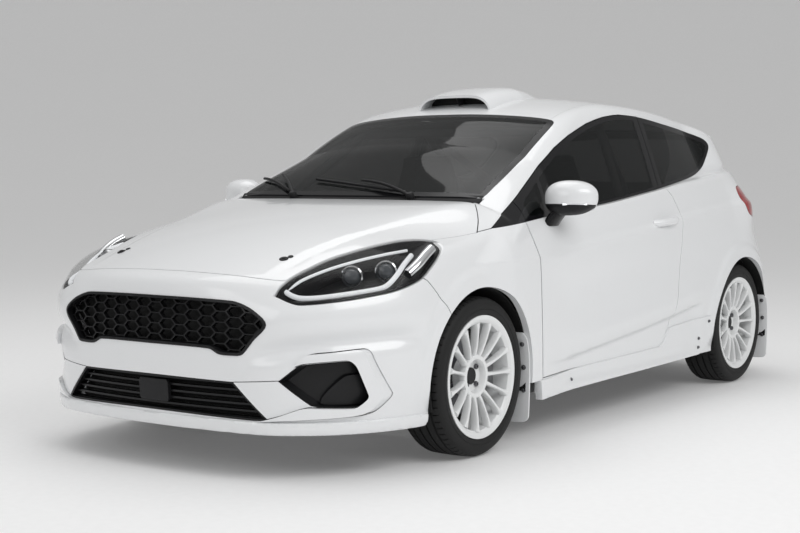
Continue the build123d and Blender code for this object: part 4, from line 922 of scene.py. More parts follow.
lamp_hole = lamp_volume(3.0)
lamp_hole_right = mirrored(lamp_hole, "tool")
grille_hole = front_prism(grille_line)
intake_hole = front_prism(intake_line)
fog_hole = front_prism(fog_open, 1560)
fog_hole_right = mirrored(fog_hole, "tool")
fog_ring = front_prism(moved_out(fog_frame, 3.0), 1560)
fog_ring_right = mirrored(fog_ring, "tool")
seam_line = [(350, 343.0), (445, 350.0), (545, 357.0), (545, 360.0), (445, 353.0), (350, 346.0)]
seam = prism(seam_line, "x", 1800, 2100)
seam_right = mirrored(seam, "tool")
bumper_tool = cross_prism(bumper_line)
bumper_cut = cross_prism(moved_out(bumper_line, SHUT))
fender_tool = side_prism(fender_line)
daylight_hole = side_prism(daylight_line)
arch_tools = [drum(axle, HUB_Z, ARCH_RADIUS, a, b)
              for axle in (FRONT_AXLE_X, REAR_AXLE_X) for a, b in ((560, 1000), (-1000, -560))]
cowl_room = box_tool(796, 884, -652, 652, 780, 1010)
BONNET_HINGE = (880.0, 895.0)
cowl_clear = drum(*BONNET_HINGE, 79, -652, 652)

# Doors and tailgate end on edges turned about their hinges, so they swing clear
DOOR_HINGE = (712.0, 861.0)
DOOR_EDGE = [(200, -474, 846), (283, -474, 848), (360, -522, 852), (435, -552, 858), (601, -597, 866),
             (784, -657, 844), (885, -690, 800), (960, -672, 770), (1000, -640, 752), (1010, -618, 748),
             (1335, -640, 612), (1420, -640, 585)]


def door_volume(gap):
    line = moved_out(door_line, gap)
    radii = [(math.hypot(x - DOOR_HINGE[0], y - DOOR_HINGE[1]) + gap, z) for z, x, y in DOOR_EDGE]
    profile = [(0, radii[0][1])] + radii + [(0, radii[-1][1])]
    volume = side_prism(line)
    return combine(volume, turned(profile, (DOOR_HINGE[0], DOOR_HINGE[1], 0), (0, 0, 1), 240), "INTERSECT",
                   keep=False)


TAIL_HINGE = (-1505.0, 1338.0)
TAIL_EDGE = [(0, 440), (100, 470), (300, 556), (430, 578), (560, 560), (700, 520), (800, 476), (826, 450)]


def tail_volume(gap):
    half = spline([(r if r < 820 else r + gap, y + gap) for r, y in TAIL_EDGE], closed=False)
    profile = [(r, y) for r, y in half if r > 0]
    full = [(0, half[0][1])] + profile + [(r, -y) for r, y in reversed(profile)] + [(0, -half[0][1])]
    volume = turned(full, (TAIL_HINGE[0], 0, TAIL_HINGE[1]), (0, 1, 0), 240)
    volume.data.flip_normals()
    return combine(volume, box_tool(-2300, TAIL_HINGE[0] - 6 + gap, -1000, 1000, 300, 1600), "INTERSECT",
                   keep=False)


door_tool = door_volume(0.0)
door_hole = door_volume(SHUT)
tail_tool = tail_volume(0.0)
tail_hole = tail_volume(SHUT)
roof_half = spline([(160, 0), (160, 0), (160, 500), (160, 545), (160, 545), (-1507, 500), (-1507, 500),
                    (-1507, 0), (-1507, 0)], closed=False)
roof_line = whole_line(roof_half)
roof_tool = prism(moved_out(roof_line, -1.0), "z", 1150, 1600)
roof_hole = prism(moved_out(roof_line, 1.0), "z", 1150, 1600)
rear_line = [(-2100, 100), (-2100, 662), (-1740, 662), (-1600, 565), (-1590, 100)]
rear_tool = cross_prism(rear_line)
rear_cut = cross_prism(moved_out(rear_line, SHUT))
tail_lamp_line = spline([(-1464, 1006), (-1434, 968), (-1452, 900), (-1490, 864), (-1640, 842), (-1880, 850),
                         (-1925, 900), (-1850, 985), (-1700, 1012)], per=6)
tail_lamp_tool = prism(tail_lamp_line, "y", 590, 960)
tail_lamp_hole = prism(moved_out(tail_lamp_line, 2.5), "y", 587, 960)

pieces = {}
on_glass = {"field": glass_field, "base": glazing}


def panel(name, body, nodes, keep, cut, mat=None, field=body_field, base=None):
    piece = carve(name, base or skin, keep, cut)
    skin_normals(piece, field)
    place(piece, body, mat or paint, nodes)
    pieces[name] = piece
    return piece


def panel_pair(name, body, nodes, keep, cut, mat=None, field=body_field, base=None):
    """Left piece and its mirror on the right; body and nodes hold the word left."""
    left = carve(name + "_left", base or skin, keep, cut)
    right = mirrored(left, name + "_right")
    for piece, side in ((left, "left"), (right, "right")):
        skin_normals(piece, field)
        place(piece, body.replace("left", side), mat or paint, tuple(n.replace("left", side) for n in nodes))
        pieces[piece.name] = piece
    return left, right


panel("bumper_skin", "body", ("front_bumper",), (bumper_tool,),
      (bonnet_hole, lamp_hole, lamp_hole_right, grille_hole, intake_hole, fog_hole, fog_hole_right, fog_ring,
       fog_ring_right, seam, seam_right, *arch_tools[:2], box_tool(1300, 2200, -960, 960, 100, 192)))
panel_pair("fender_skin", "body", (), (fender_tool,),
           (bonnet_hole, lamp_hole, bumper_cut, arch_tools[0], daylight_hole, cowl_clear,
            box_tool(600, 884, 0, 640, 0, 1200)))
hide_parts("front_fenders")
panel_pair("door_skin", "door_left_leaf", ("door_left",), (door_tool,), (daylight_hole,))
panel_pair("door_lining", "door_left_leaf", (), (door_tool,),
           (daylight_hole, box_tool(-900, 900, 300, 960, 895, 1500)), mat=carbon, base=lining)
side_cut = (door_hole, roof_hole, screen_hole, tail_hole, rear_cut, tail_lamp_hole, daylight_hole,
            arch_tools[2], cowl_room, cowl_clear)
side_keep = prism([(-2200, 192), (720, 192), (720, 300), (650, 300), (650, 800), (1100, 800), (1100, 1500),
                   (-2200, 1500)], "y", 0.5, 960)
fender_hole = side_prism(moved_out(fender_line, 2.5))
panel_pair("side_skin", "body", ("body_side_left",), (side_keep,), side_cut + (bonnet_hole, fender_hole))
panel_pair("corner_patch", "body", (), (daylight_hole, box_tool(700, 1100, 300, 960, 800, 1100)),
           (door_hole,), mat=black_gloss)
panel("roof_skin", "body", ("roof_panel",), (roof_tool,), (screen_hole, tail_hole))
panel("rear_bumper_skin", "body", ("rear_bumper",), (rear_tool,),
      (*arch_tools[2:], box_tool(-2200, -1500, -960, 960, 100, 200),
       box_tool(-2200, -1900, -420, 420, 180, 330)))
rear_glass_line = spline([(440, 1285), (440, 1285), (470, 1200), (525, 1020), (505, 1003), (300, 995),
                          (0, 992), (-300, 995), (-505, 1003), (-525, 1020), (-470, 1200), (-440, 1285),
                          (-440, 1285), (0, 1302)], per=5)
rear_glass_hole = prism(rear_glass_line, "x", -2200, -1450)
rear_glass_in = prism(moved_out(rear_glass_line, -34), "x", -2200, -1450)
panel("tailgate_skin", "tailgate_lid", ("tailgate",), (tail_tool,), (rear_cut, rear_glass_hole))
panel("tailgate_lining", "tailgate_lid", (), (tail_tool,), (rear_cut, rear_glass_hole), mat=carbon,
      base=lining)
panel("rear_pane", "tailgate_lid", ("rear_window",), (rear_glass_in,), (), mat=window, **on_glass)
panel("rear_pane_border", "tailgate_lid", (), (rear_glass_hole,), (rear_glass_in,), mat=black_gloss,
      **on_glass)
screen_in = prism(moved_out(screen_line, -30.0), "z", 880, 1480)
panel("screen_pane", "body", ("windscreen",), (screen_tool, screen_in), (), mat=window, **on_glass)
panel("screen_border", "body", (), (screen_tool,), (screen_in,), mat=black_gloss, **on_glass)
door_frame = side_prism(moved_out(daylight_line, -1.0))
door_glass_in = side_prism(window_line)
divider = side_prism([(462, 1200), (436, 1200), (500, 880), (536, 880)])
panel_pair("door_pane", "door_left_leaf", ("door_glass_left",), (door_tool, door_glass_in), (divider,),
           mat=window, **on_glass)
panel_pair("door_pane_border", "door_left_leaf", (), (door_tool, door_frame), (door_glass_in,),
           mat=black_gloss, **on_glass)
panel_pair("door_pane_bar", "door_left_leaf", (), (door_tool, door_glass_in, divider), (), mat=black_gloss,
           **on_glass)
quarter_in = side_prism(quarter_line)
panel_pair("quarter_pane", "body", (), (quarter_in,), (), mat=window, **on_glass)
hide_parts("quarter_windows")
panel_pair("quarter_border", "body", (), (door_frame, box_tool(-1500, -560, 300, 960, 900, 1400)),
           (quarter_in, door_hole), mat=black_gloss, **on_glass)


def tray_curve(radius, *degrees):
    """Arc about the bonnet's hinge, seen from the side; degrees are first, last and step."""
    x, z = BONNET_HINGE
    angles = [math.radians(a) for a in range(*degrees)]
    return [(x + radius * math.cos(a), z + radius * math.sin(a)) for a in angles]


tray_line = [(786, 986), (804, 968), (817, 955), *tray_curve(81, 139, 202, 6), *tray_curve(86, 199, 140, -6),
             (800, 965), (783, 982)]
tray = prism(tray_line, "y", -640, 640)
tray.name = "cowl_tray"
smooth_by_angle(tray, 35)
place(tray, "body", black_matt, ("cowl",))
panel_pair("tail_lamp", "body", (), (tail_lamp_tool,), (tail_hole,), mat=lens_red)
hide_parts("tail_lights")


# Fine local layers of the body form, for lamps, grilles and trim

def layer(name, room, step, top, bottom, field=body_field):
    """Solid between two depths under the skin, inside a box; a negative top stands proud."""
    x0, x1, y0, y1, z0, z1 = room
    solids = []
    for depth, grow in ((top, 0.0), (bottom, 6.0)):
        low = np.array((x0, y0, z0)) - grow - 2.5 * step
        high = np.array((x1, y1, z1)) + grow + 2.5 * step
        values, origin = sampled(field, low, high, step)
        slope = np.sqrt(sum(g * g for g in np.gradient(values, step)))
        values = values / np.clip(slope, 0.5, 3.0) + depth
        axes = [origin[i] + step * np.arange(values.shape[i]) for i in range(3)]
        for i, (a, b) in enumerate(((x0, x1), (y0, y1), (z0, z1))):
            wall = np.maximum(a - grow - axes[i], axes[i] - b - grow)
            shape = [1, 1, 1]
            shape[i] = -1
            values = np.maximum(values, wall.reshape(shape))
        points, faces = surface_net(values, origin, step)
        solids.append(mesh_object(name, points, faces))
    return combine(solids[0], solids[1], "DIFFERENCE", keep=False)


def last_inside(low, high, shape, field):
    """Largest value between two limits for which a field of one value is negative, by halving."""
    a = np.full(shape, low)
    b = np.full(shape, high)
    for _ in range(30):
        m = (a + b) / 2
        inside = field(m) < 0
        a = np.where(inside, m, a)
        b = np.where(inside, b, m)
    return a


def find_y(x, z):
    """Half width of the body at a place along the car and a height."""
    shape = np.broadcast(x, z).shape
    return last_inside(0.0, 1000.0, shape, lambda m: body_field(x + 0 * m, m, z + 0 * m))


def find_z(x, y, field=body_field):
    """Height of the upper skin over a point of the plan."""
    shape = np.broadcast(x, y).shape
    return last_inside(500.0, 1600.0, shape, lambda m: field(x + 0 * m, y + 0 * m, m))


def tube(name, path, radius, sides=10, closed=False):
    """Round bar along a line; radius may be one number or one for each point."""
    path = np.asarray(path, dtype=float)
    n = len(path)
    radii = np.broadcast_to(np.asarray(radius, dtype=float), (n,))
    if closed:
        way = np.roll(path, -1, axis=0) - np.roll(path, 1, axis=0)
    else:
        way = np.gradient(path, axis=0)
    way /= np.linalg.norm(way, axis=1)[:, None]
    side = np.cross(way[0], (0.0, 0.0, 1.0))
    if np.linalg.norm(side) < 0.1:
        side = np.cross(way[0], (1.0, 0.0, 0.0))
    verts = []
    for i in range(n):
        side = side - way[i] * (side @ way[i])
        side /= np.linalg.norm(side)
        up = np.cross(way[i], side)
        for k in range(sides):
            a = 2 * math.pi * k / sides
            verts.append(path[i] + radii[i] * (math.cos(a) * side + math.sin(a) * up))
    faces = grid_faces(n, sides, closed, True)
    if not closed:
        faces.append(tuple(range(sides))[::-1])
        faces.append(tuple(range((n - 1) * sides, n * sides)))
    return smooth_by_angle(poly_object(name, verts, faces), 50)


def join(name, things):
    """One object from several, all with the same material."""
    verts = []
    faces = []
    for thing in things:
        base = len(verts)
        verts.extend(points_of(thing))
        faces.extend(tuple(base + v for v in p.vertices) for p in thing.data.polygons)
        drop(thing)
    return poly_object(name, verts, faces)


# Bonnet; it and the body side are thinned where its rear corners pass as it opens
bonnet_trim = layer("bonnet_trim", (860, 1120, 560, 820, 790, 1000), 10.0, 8.0, 46.0)
side_trim = layer("side_trim", (796, 916, 640, 704, 870, 1000), 8.0, 5.0, 46.0)
side_trim_right = mirrored(side_trim, "tool")
for piece, tool in ((pieces["side_skin_left"], side_trim), (pieces["side_skin_right"], side_trim_right)):
    combine(piece, tool, "DIFFERENCE")
    skin_normals(piece, body_field)
bonnet_cut = (lamp_hole, lamp_hole_right, bonnet_trim, mirrored(bonnet_trim, "tool"),
              box_tool(800, 2100, -960, 960, 0, 640))
panel("bonnet_skin", "bonnet_lid", ("bonnet",), (bonnet_tool,), bonnet_cut)

# Headlights
lamp_black = shader("lamp_black", (0.006, 0.006, 0.007), 0.45, grain=(700.0, 0.08), spread=0.2)
lamp_room = (1220, 1960, 440, 890, 590, 900)
lamp_glass = layer("lamp_glass", lamp_room, 9.0, 1.0, 5.0)
lamp_wall = layer("lamp_wall", lamp_room, 11.0, 6.0, 100.0)
lamp_space = layer("lamp_space", lamp_room, 12.0, -20.0, 84.0)
lamp_inner = lamp_volume(-8.0)
lamp_fit = lamp_volume(-0.5)
lens = carve("lamp_lens_left", lamp_glass, (lamp_fit,))
bowl = carve("lamp_bowl_left", lamp_wall, (lamp_fit,))
combine(bowl, carve("hollow", lamp_space, (lamp_inner,)), "DIFFERENCE", keep=False)
smooth_by_angle(lens, 40)
smooth_by_angle(bowl, 40)
place_pair(lens, "body", lens_clear, ("headlight_lenses",))
place_pair(bowl, "body", lamp_black, ("headlight_housings",))
loop_low = [(1894, 525, 664), (1886, 550, 650), (1874, 580, 642), (1842, 627, 643), (1767, 696, 654),
            (1677, 753, 667), (1633, 772, 679), (1586, 779, 710), (1525, 770, 748), (1440, 743, 777)]
loop_top = [(1894, 525, 664), (1824, 546, 701), (1716, 574, 733), (1606, 619, 760), (1497, 668, 781),
            (1414, 706, 793)]
for word, route in (("low", loop_low), ("top", loop_top)):
    guide = tube("lamp_guide_" + word + "_left", spline(route, closed=False, per=6),
                 9.5 if word == "low" else 5.5, 12)
    place_pair(guide, "body", lamp_white)
reflector_path = [(1540, 797, 716), (1490, 806, 748), (1440, 804, 778), (1390, 797, 800)]
flash = tube("lamp_flash_left", spline(reflector_path, closed=False, per=6), 19.0, 16)
place_pair(flash, "body", chrome)


def projector(name, x, y, z, radius, turn):
    facing = (math.cos(turn), math.sin(turn), 0)
    ring = turned([(0, -50), (radius, -50), (radius + 5, -6), (radius + 7, 6), (radius + 2, 10),
                   (radius - 3, 2), (0, 0)],
                  (x, y, z), facing, 48)
    glass = turned([(0, 1), (radius - 3, 3), (radius - 5, 12), (radius * 0.7, 22), (radius * 0.35, 28),
                    (0, 30)],
                   (x, y, z), facing, 48)
    ring.name = name + "_ring"
    glass.name = name + "_glass"
    for thing, mat in ((ring, chrome), (glass, lamp_eye)):
        smooth_by_angle(thing, 35)
        place(thing, "body", mat)
        place(mirrored(thing, thing.name + "_right"), "body", mat)


lamp_eye = shader("lamp_eye", (0.10, 0.11, 0.12), 0.06, coat=0.8, grain=(80.0, 0.02), spread=0.2)
projector("projector_low", 1560, 718, 724, 34, 0.46)
projector("projector_high", 1660, 640, 708, 34, 0.42)

grille_black = shader("grille_black", (0.010, 0.010, 0.011), 0.30, grain=(500.0, 0.06), spread=0.2, spec=0.3)

# Grilles: a frame, a honeycomb that follows the bumper, and a dark duct behind
grille_room = (1850, 2060, -560, 560, 400, 670)
mesh_plate = layer("mesh_plate", grille_room, 11.0, 16.0, 34.0)
grille_back = layer("grille_back", grille_room, 16.0, 62.0, 70.0)
grille_frame = layer("grille_frame", grille_room, 9.0, -3.0, 36.0)
frame_out = front_prism(moved_out(grille_line, 4.0))
frame_in = prism(moved_out(grille_line, -6.0), "x", 1740, 2110)
grille_in = front_prism(moved_out(grille_line, -8.0))


def hexagons(y0, y1, z0, z1, pitch_y, pitch_z, bar):
    """Closed prisms of a honeycomb's holes, points to the sides, all in one mesh."""
    verts = []
    faces = []
    wide = pitch_y * 2 / 3
    tall = pitch_z / 2
    shrink = 1 - bar / pitch_z
    columns = int((y1 - y0) / pitch_y) + 2
    rows = int((z1 - z0) / pitch_z) + 2
    for c in range(columns):
        for r in range(rows):
            cy = y0 + c * pitch_y
            cz = z0 + (r + 0.5 * (c % 2)) * pitch_z
            base = len(verts)
            for x in (1700, 2120):
                for py, pz in ((wide, 0), (wide / 2, tall), (-wide / 2, tall), (-wide, 0),
                               (-wide / 2, -tall), (wide / 2, -tall)):
                    verts.append((x, cy + py * shrink, cz + pz * shrink))
            for k in range(6):
                m = (k + 1) % 6
                faces.append((base + k, base + m, base + 6 + m, base + 6 + k))
            faces.append(tuple(base + k for k in range(5, -1, -1)))
            faces.append(tuple(base + 6 + k for k in range(6)))
    return poly_object("hexagons", verts, faces)


honeycomb = carve("honeycomb", mesh_plate, (grille_in,))
combine(honeycomb, hexagons(-549, 549, 420, 650, 61.0, 38.0, 3.6), "DIFFERENCE", keep=False)
smooth_by_angle(honeycomb, 30)
place(honeycomb, "body", grille_black, ("grilles",))
surround = carve("grille_surround", grille_frame, (frame_out,), (frame_in,))
smooth_by_angle(rounded(surround, 2.0), 35)
place(surround, "body", grille_black)
place(smooth_by_angle(carve("grille_duct", grille_back, (front_prism(moved_out(grille_line, 8.0)),)), 40),
      "body", black_deep)
intake_room = (1830, 2060, -560, 560, 196, 372)
intake_bars = layer("intake_bars", intake_room, 11.0, 20.0, 44.0)
intake_back = layer("intake_back", intake_room, 16.0, 70.0, 78.0)
intake_trim = layer("intake_trim", intake_room, 9.0, 2.0, 48.0)
intake_fit = front_prism(moved_out(intake_line, -0.8))
intake_in = prism(moved_out(intake_line, -8.0), "x", 1740, 2110)
bars = carve("intake_bars_black", intake_bars, (intake_in,))
slots = [box_tool(1700, 2120, -560, 560, z, z + 17) for z in (224, 248, 272, 296, 320)]
combine(bars, join("slots", slots), "DIFFERENCE", keep=False)
place(smooth_by_angle(bars, 35), "body", grille_black)
rim_trim = carve("intake_edge", intake_trim, (intake_fit,), (intake_in,))
place(smooth_by_angle(rim_trim, 35), "body", grille_black)
place(smooth_by_angle(carve("intake_duct", intake_back, (front_prism(moved_out(intake_line, 6.0)),)), 40),
      "body", black_deep)
sensor_plate = carve("intake_plate", layer("plate", (1850, 2060, -90, 90, 240, 342), 9.0, 6.0, 22.0),
                     (front_prism([(-66, 252), (66, 252), (72, 262), (72, 322), (66, 332), (-66, 332),
                                   (-72, 322), (-72, 262)]),))
place(rounded(sensor_plate, 3.0), "body", black_matt)

# Fog lamp frames in body colour, open towards the middle, round a black blank
fog_room = (1600, 2060, 440, 870, 195, 500)
fog_frame_layer = layer("fog_frame_layer", fog_room, 9.0, -15.0, 26.0)
fog_blank_layer = layer("fog_blank_layer", fog_room, 12.0, 44.0, 60.0)
fog_step_layer = layer("fog_step_layer", fog_room, 12.0, 26.0, 50.0)
fog_wall_layer = layer("fog_wall_layer", fog_room, 12.0, 2.0, 58.0)
fog_rim = carve("fog_frame_left", fog_frame_layer, (front_prism(fog_frame, 1560),))
rounded(fog_rim, 4.5, 3, 50)
place_pair(fog_rim, "body", paint, ("fog_lamp_bezels",))
blank = carve("fog_blank_left", fog_blank_layer, (front_prism(moved_out(fog_open, 6.0), 1560),))
step_line = spline([(640, 276), (700, 366), (735, 372), (744, 360), (758, 300), (752, 282), (736, 270)],
                   per=4)
stair = carve("fog_step_left", fog_step_layer, (front_prism(step_line, 1560),))
wall = carve("fog_wall_left", fog_wall_layer, (front_prism(moved_out(fog_open, 1.5), 1560),),
             (prism(moved_out(fog_open, -3.0), "x", 1550, 2110),))
for thing in (blank, stair, wall):
    smooth_by_angle(thing, 35)
    place_pair(thing, "body", grille_black)

# Splitter lip and side skirts stand proud of the body
lip = layer("lip_skin", (1470, 2080, -880, 880, 164, 214), 12.0, -15.0, 34.0)
for tool in arch_tools[:2]:
    combine(lip, tool, "DIFFERENCE")
rounded(lip, 4.0, 2, 50.0)
place(lip, "body", paint, ("front_splitter",))
skirt_line = [(728, 246), (300, 258), (-426, 271), (-470, 290), (-505, 338), (-540, 352), (-960, 376),
              (-966, 250), (-940, 212), (-862, 192), (71, 180), (716, 168)]
skirt_layer = layer("skirt_layer", (-990, 745, 700, 900, 158, 392), 13.0, -9.0, 22.0)
skirt = carve("skirt_left", skirt_layer, (prism(skirt_line, "y", 600, 960),), (arch_tools[0], arch_tools[2]))
rounded(skirt, 4.0, 2, 50.0)
place_pair(skirt, "body", paint, ("side_skirts",))


# Wheel arch liners
def liner(name, axle, start=-16.0, stop=196.0, inner_y=508.0, outer_y=852.0):
    """Thin half drum over one wheel with a wall on its inner side."""
    angles = np.radians(np.linspace(start, stop, 60))
    verts = []
    for radius, y in ((337.5, outer_y), (346.0, 800.0), (350.0, inner_y + 4), (356.0, inner_y),
                      (356.0, 806.0), (341.4, 820.0), (341.4, outer_y)):
        for a in angles:
            verts.append((axle + radius * math.cos(a), y, HUB_Z + radius * math.sin(a)))
    n = len(angles)
    faces = grid_faces(7, n, round_rows=True, flip=True)
    faces.append(tuple(r * n for r in range(6, -1, -1)))
    faces.append(tuple(r * n + n - 1 for r in range(7)))
    return smooth_by_angle(poly_object(name, verts, faces), 40)


for word, axle in (("front", FRONT_AXLE_X), ("rear", REAR_AXLE_X)):
    place_pair(liner("arch_liner_" + word + "_left", axle), "body", black_deep)


# Wheels, drawn about the hub with +Y outboard
def ring_mesh(name, profile, count=120):
    """Solid of revolution about the wheel's axis from a closed profile of radius and offset."""
    n = len(profile)
    verts = []
    for k in range(count):
        a = 2 * math.pi * k / count
        for r, y in profile:
            verts.append((r * math.cos(a), y, r * math.sin(a)))
    return poly_object(name, verts, grid_faces(count, n, True, True))


def tyre_profile():
    half = 98.0
    outer = [(235.5, 90.0), (239, 95.5), (246, 98.0), (256, 98.0), (257.5, 96.6), (259, 98.0), (272, 97.6),
             (285, 95.0), (294, 90.0), (300, 82.0), (303.5, 72.0)]
    tread = []
    for y0, y1 in ((72, 58), (48, 22), (14, -14), (-22, -48), (-58, -72)):
        lift = [305.6 - 0.00035 * y * y for y in (y0, y1)]
        tread += [(lift[0], y0), (lift[1], y1), (lift[1] - 7, y1 - 1.5), (lift[1] - 7, y1 - 6.5)]
    tread = tread[:-2]
    inner = [(r, -y) for r, y in reversed(outer)]
    back = [(221, -80), (221, -50), (284, -66), (290, 0), (284, 66), (221, 50), (221, 80)]
    return outer + tread + inner + back


tyre_mesh = ring_mesh("tyre", tyre_profile(), 160)
shoulder_cuts = []
for k in range(64):
    a = 2 * math.pi * k / 64
    for side in (1, -1):
        y0, y1 = sorted((side * 60, side * 110))
        twist = 0.012 * side
        corners = []
        for r, da in ((296.5, -0.006), (296.5, 0.006), (312, 0.006), (312, -0.006)):
            for y in (y0, y1):
                t = a + da + twist * (y / 60.0)
                corners.append((r * math.cos(t), y, r * math.sin(t)))
        faces = [(0, 2, 3, 1), (2, 4, 5, 3), (4, 6, 7, 5), (6, 0, 1, 7), (0, 6, 4, 2), (1, 3, 5, 7)]
        shoulder_cuts.append(poly_object("cut", corners, faces))
combine(tyre_mesh, join("cuts", shoulder_cuts), "DIFFERENCE", keep=False)
smooth_by_angle(tyre_mesh, 28)

rim_ring = ring_mesh("rim_ring", [(204, -30), (212, -30), (212, -42), (219, -46), (219, -84), (235, -90),
                                  (235, -96), (228, -97), (206, -90), (200, -50), (200, 40), (206, 84),
                                  (216, 93), (228, 97.5), (235, 96), (235, 90), (219, 84), (219, 60),
                                  (212, 52), (204, 52)], 160)
hub_ring = ring_mesh("hub_ring", [(33, 12), (79, 12), (86, 40), (86, 60), (82, 69), (74, 72), (66, 70),
                                  (61, 62), (58, 46), (52, 42), (33, 41)], 96)
wheel_parts = [rim_ring, hub_ring]


def spoke_mesh(angle):
    """One tapered spoke from the hub to the rim, rounded in section."""
    verts = []
    stations = [(76, 9.5, 40, 70), (92, 7.6, 44, 76), (120, 6.4, 50, 83), (150, 6.0, 54, 88),
                (178, 6.6, 57, 92), (194, 9.0, 58, 94), (207, 14, 56, 95)]
    loop = 16
    for r, w, low, high in stations:
        for k in range(loop):
            t = 2 * math.pi * k / loop
            c = math.copysign(abs(math.cos(t)) ** 0.55, math.cos(t))
            s = math.copysign(abs(math.sin(t)) ** 0.55, math.sin(t))
            x, y, z = r, (low + high) / 2 + (high - low) / 2 * s, w * c
            verts.append((x * math.cos(angle) - z * math.sin(angle), y,
                          x * math.sin(angle) + z * math.cos(angle)))
    faces = grid_faces(len(stations), loop, round_columns=True)
    faces.append(tuple(range(loop))[::-1])
    faces.append(tuple(range((len(stations) - 1) * loop, len(stations) * loop)))
    return poly_object("spoke", verts, faces)


for step in range(15):
    wheel_parts.append(spoke_mesh(2 * math.pi * (step + 0.5) / 15))
wheel_mesh = smooth_by_angle(join("wheel", wheel_parts), 38)
# Flat near-black disc behind the spokes: painted shade for the dark inside of the wheel
shade = smooth_by_angle(ring_mesh("shade", [(70, -34), (203, -34), (203, -30), (70, -30)], 64), 30)
bore = smooth_by_angle(ring_mesh("bore", [(0.5, 30), (32, 30), (32, 46), (28, 49), (0.5, 49)], 48), 30)
NUT_PROFILE = [(0, 36), (10.5, 36), (10.5, 50), (8.5, 53), (5, 53), (5, 46), (0, 46)]
nuts = []
for step in range(4):
    a = math.pi / 4 + step * math.pi / 2
    nuts.append(turned(NUT_PROFILE, (47 * math.cos(a), 0, 47 * math.sin(a)), (0, 1, 0), 6))
nut_mesh = smooth_by_angle(join("nuts", nuts), 30)
valve = turned([(0, 0), (4, 0), (4, 18), (3, 26), (0, 26)], (188, 56, 0), (-0.3, 0.95, 0), 16)


def set_wheel(word, side, axle, wheel_y):
    body = "wheel_" + word + "_" + side
    sign = 1 if side == "left" else -1
    # The near-black disc among these pieces is painted shade behind the spokes
    for source, label, mat, nodes in ((tyre_mesh, "tyre_tread", rubber, ("tyre_" + word + "_" + side,)),
                                      (wheel_mesh, "spoked_rim", wheel_white, ("rim_" + word + "_" + side,)),
                                      (bore, "hub_bore", black_matt, ()),
                                      (shade, "dust_shield", black_deep, ()),
                                      (nut_mesh, "wheel_nuts", steel, ()), (valve, "valve", black_matt, ())):
        piece = copy_of(source, label + "_" + word + "_" + side)
        move_points(piece, points_of(piece) * (1, sign, 1) + (axle, sign * wheel_y, HUB_Z))
        if sign < 0:
            piece.data.flip_normals()
            piece.data.update()
        place(piece, body, mat, nodes)


for word, axle, wheel_y in (("front", FRONT_AXLE_X, 762.0), ("rear", REAR_AXLE_X, 742.0)):
    for side in ("left", "right"):
        set_wheel(word, side, axle, wheel_y)
for thing in (tyre_mesh, wheel_mesh, bore, shade, nut_mesh, valve):
    drop(thing)


# Door mirrors: a shell in body colour over a black lower half, on a black foot
def shell_grid(name, centre, half, power, rows=28, columns=48, shape=None):
    """Closed rounded form; power above 2 makes it squarer."""
    verts = []
    for i in range(1, rows):
        v = math.pi * i / rows - math.pi / 2
        for k in range(columns):
            u = 2 * math.pi * k / columns
            c = [math.cos(v) * math.cos(u), math.sin(v), math.cos(v) * math.sin(u)]
            size = sum(abs(t) ** power for t in c) ** (1 / power)
            p = np.array([t / size * h for t, h in zip(c, half)])
            if shape is not None:
                p = shape(p)
            verts.append(np.array(centre) + p)
    low = np.array((0.0, -half[1], 0.0))
    high = np.array((0.0, half[1], 0.0))
    if shape is not None:
        low, high = shape(low), shape(high)
    verts.append(np.array(centre) + low)
    verts.append(np.array(centre) + high)
    faces = grid_faces(rows - 1, columns, round_columns=True, flip=True)
    a = len(verts) - 2
    for k in range(columns):
        m = (k + 1) % columns
        faces.append((a, k, m))
        faces.append((a + 1, (rows - 2) * columns + m, (rows - 2) * columns + k))
    return poly_object(name, verts, faces)


def mirror_shape(p):
    share = p[1] / 108.0
    x, y, z = p
    z = z * (1.0 - 0.16 * share * share - 0.06 * share)
    x = x * (0.92 - 0.22 * share * share) - 14.0 * share
    if x < 0:
        x = x * 0.8
    return np.array((x, y, z + 3.0 * share))


cap = shell_grid("mirror_cap", (504, 890, 976), (90, 108, 72), 2.7, shape=mirror_shape)
lower = copy_of(cap, "mirror_lower")
cap_cut = prism([(360, 942), (660, 956), (660, 1120), (360, 1120)], "y", 700, 1100)
low_cut = prism([(360, 940), (660, 954), (660, 800), (360, 800)], "y", 700, 1100)
glass_cut = box_tool(360, 446, 700, 1100, 800, 1120)
for thing, tool in ((cap, cap_cut), (lower, low_cut)):
    combine(thing, tool, "INTERSECT")
    combine(thing, glass_cut, "DIFFERENCE")
    rounded(thing, 2.0, 2, 40)
mirror_pane = shell_grid("mirror_pane", (443, 886, 974), (4, 88, 54), 4.0)
smooth_by_angle(mirror_pane, 40)
strip_line = np.array([(np.interp(y, (800, 894, 984), (588, 586, 534)), y, 951.0)
                       for y in np.linspace(892, 978, 14)])
strip = tube("mirror_lamp", strip_line, 4.0, 8)
foot_rows = [(506, 852, 934, 50, 26), (514, 830, 910, 58, 28), (522, 812, 882, 60, 25),
             (524, 804, 860, 55, 18)]
verts = []
for x, y, z, hx, hy in foot_rows:
    for k in range(20):
        a = 2 * math.pi * k / 20
        verts.append((x + hx * math.cos(a), y + hy * math.sin(a), z))
faces = grid_faces(len(foot_rows), 20, round_columns=True, flip=True)
faces.append(tuple(range(20)))
faces.append(tuple(range(60, 80))[::-1])
foot = smooth_by_angle(poly_object("mirror_foot", verts, faces), 45)
for thing, mat, nodes in ((cap, paint, ("door_mirror_left",)), (lower, black_matt, ()),
                          (mirror_pane, chrome, ()), (strip, lamp_white, ()), (foot, black_gloss, ())):
    thing.name = thing.name + "_left"
    place_pair(thing, "door_left_leaf", mat, nodes)

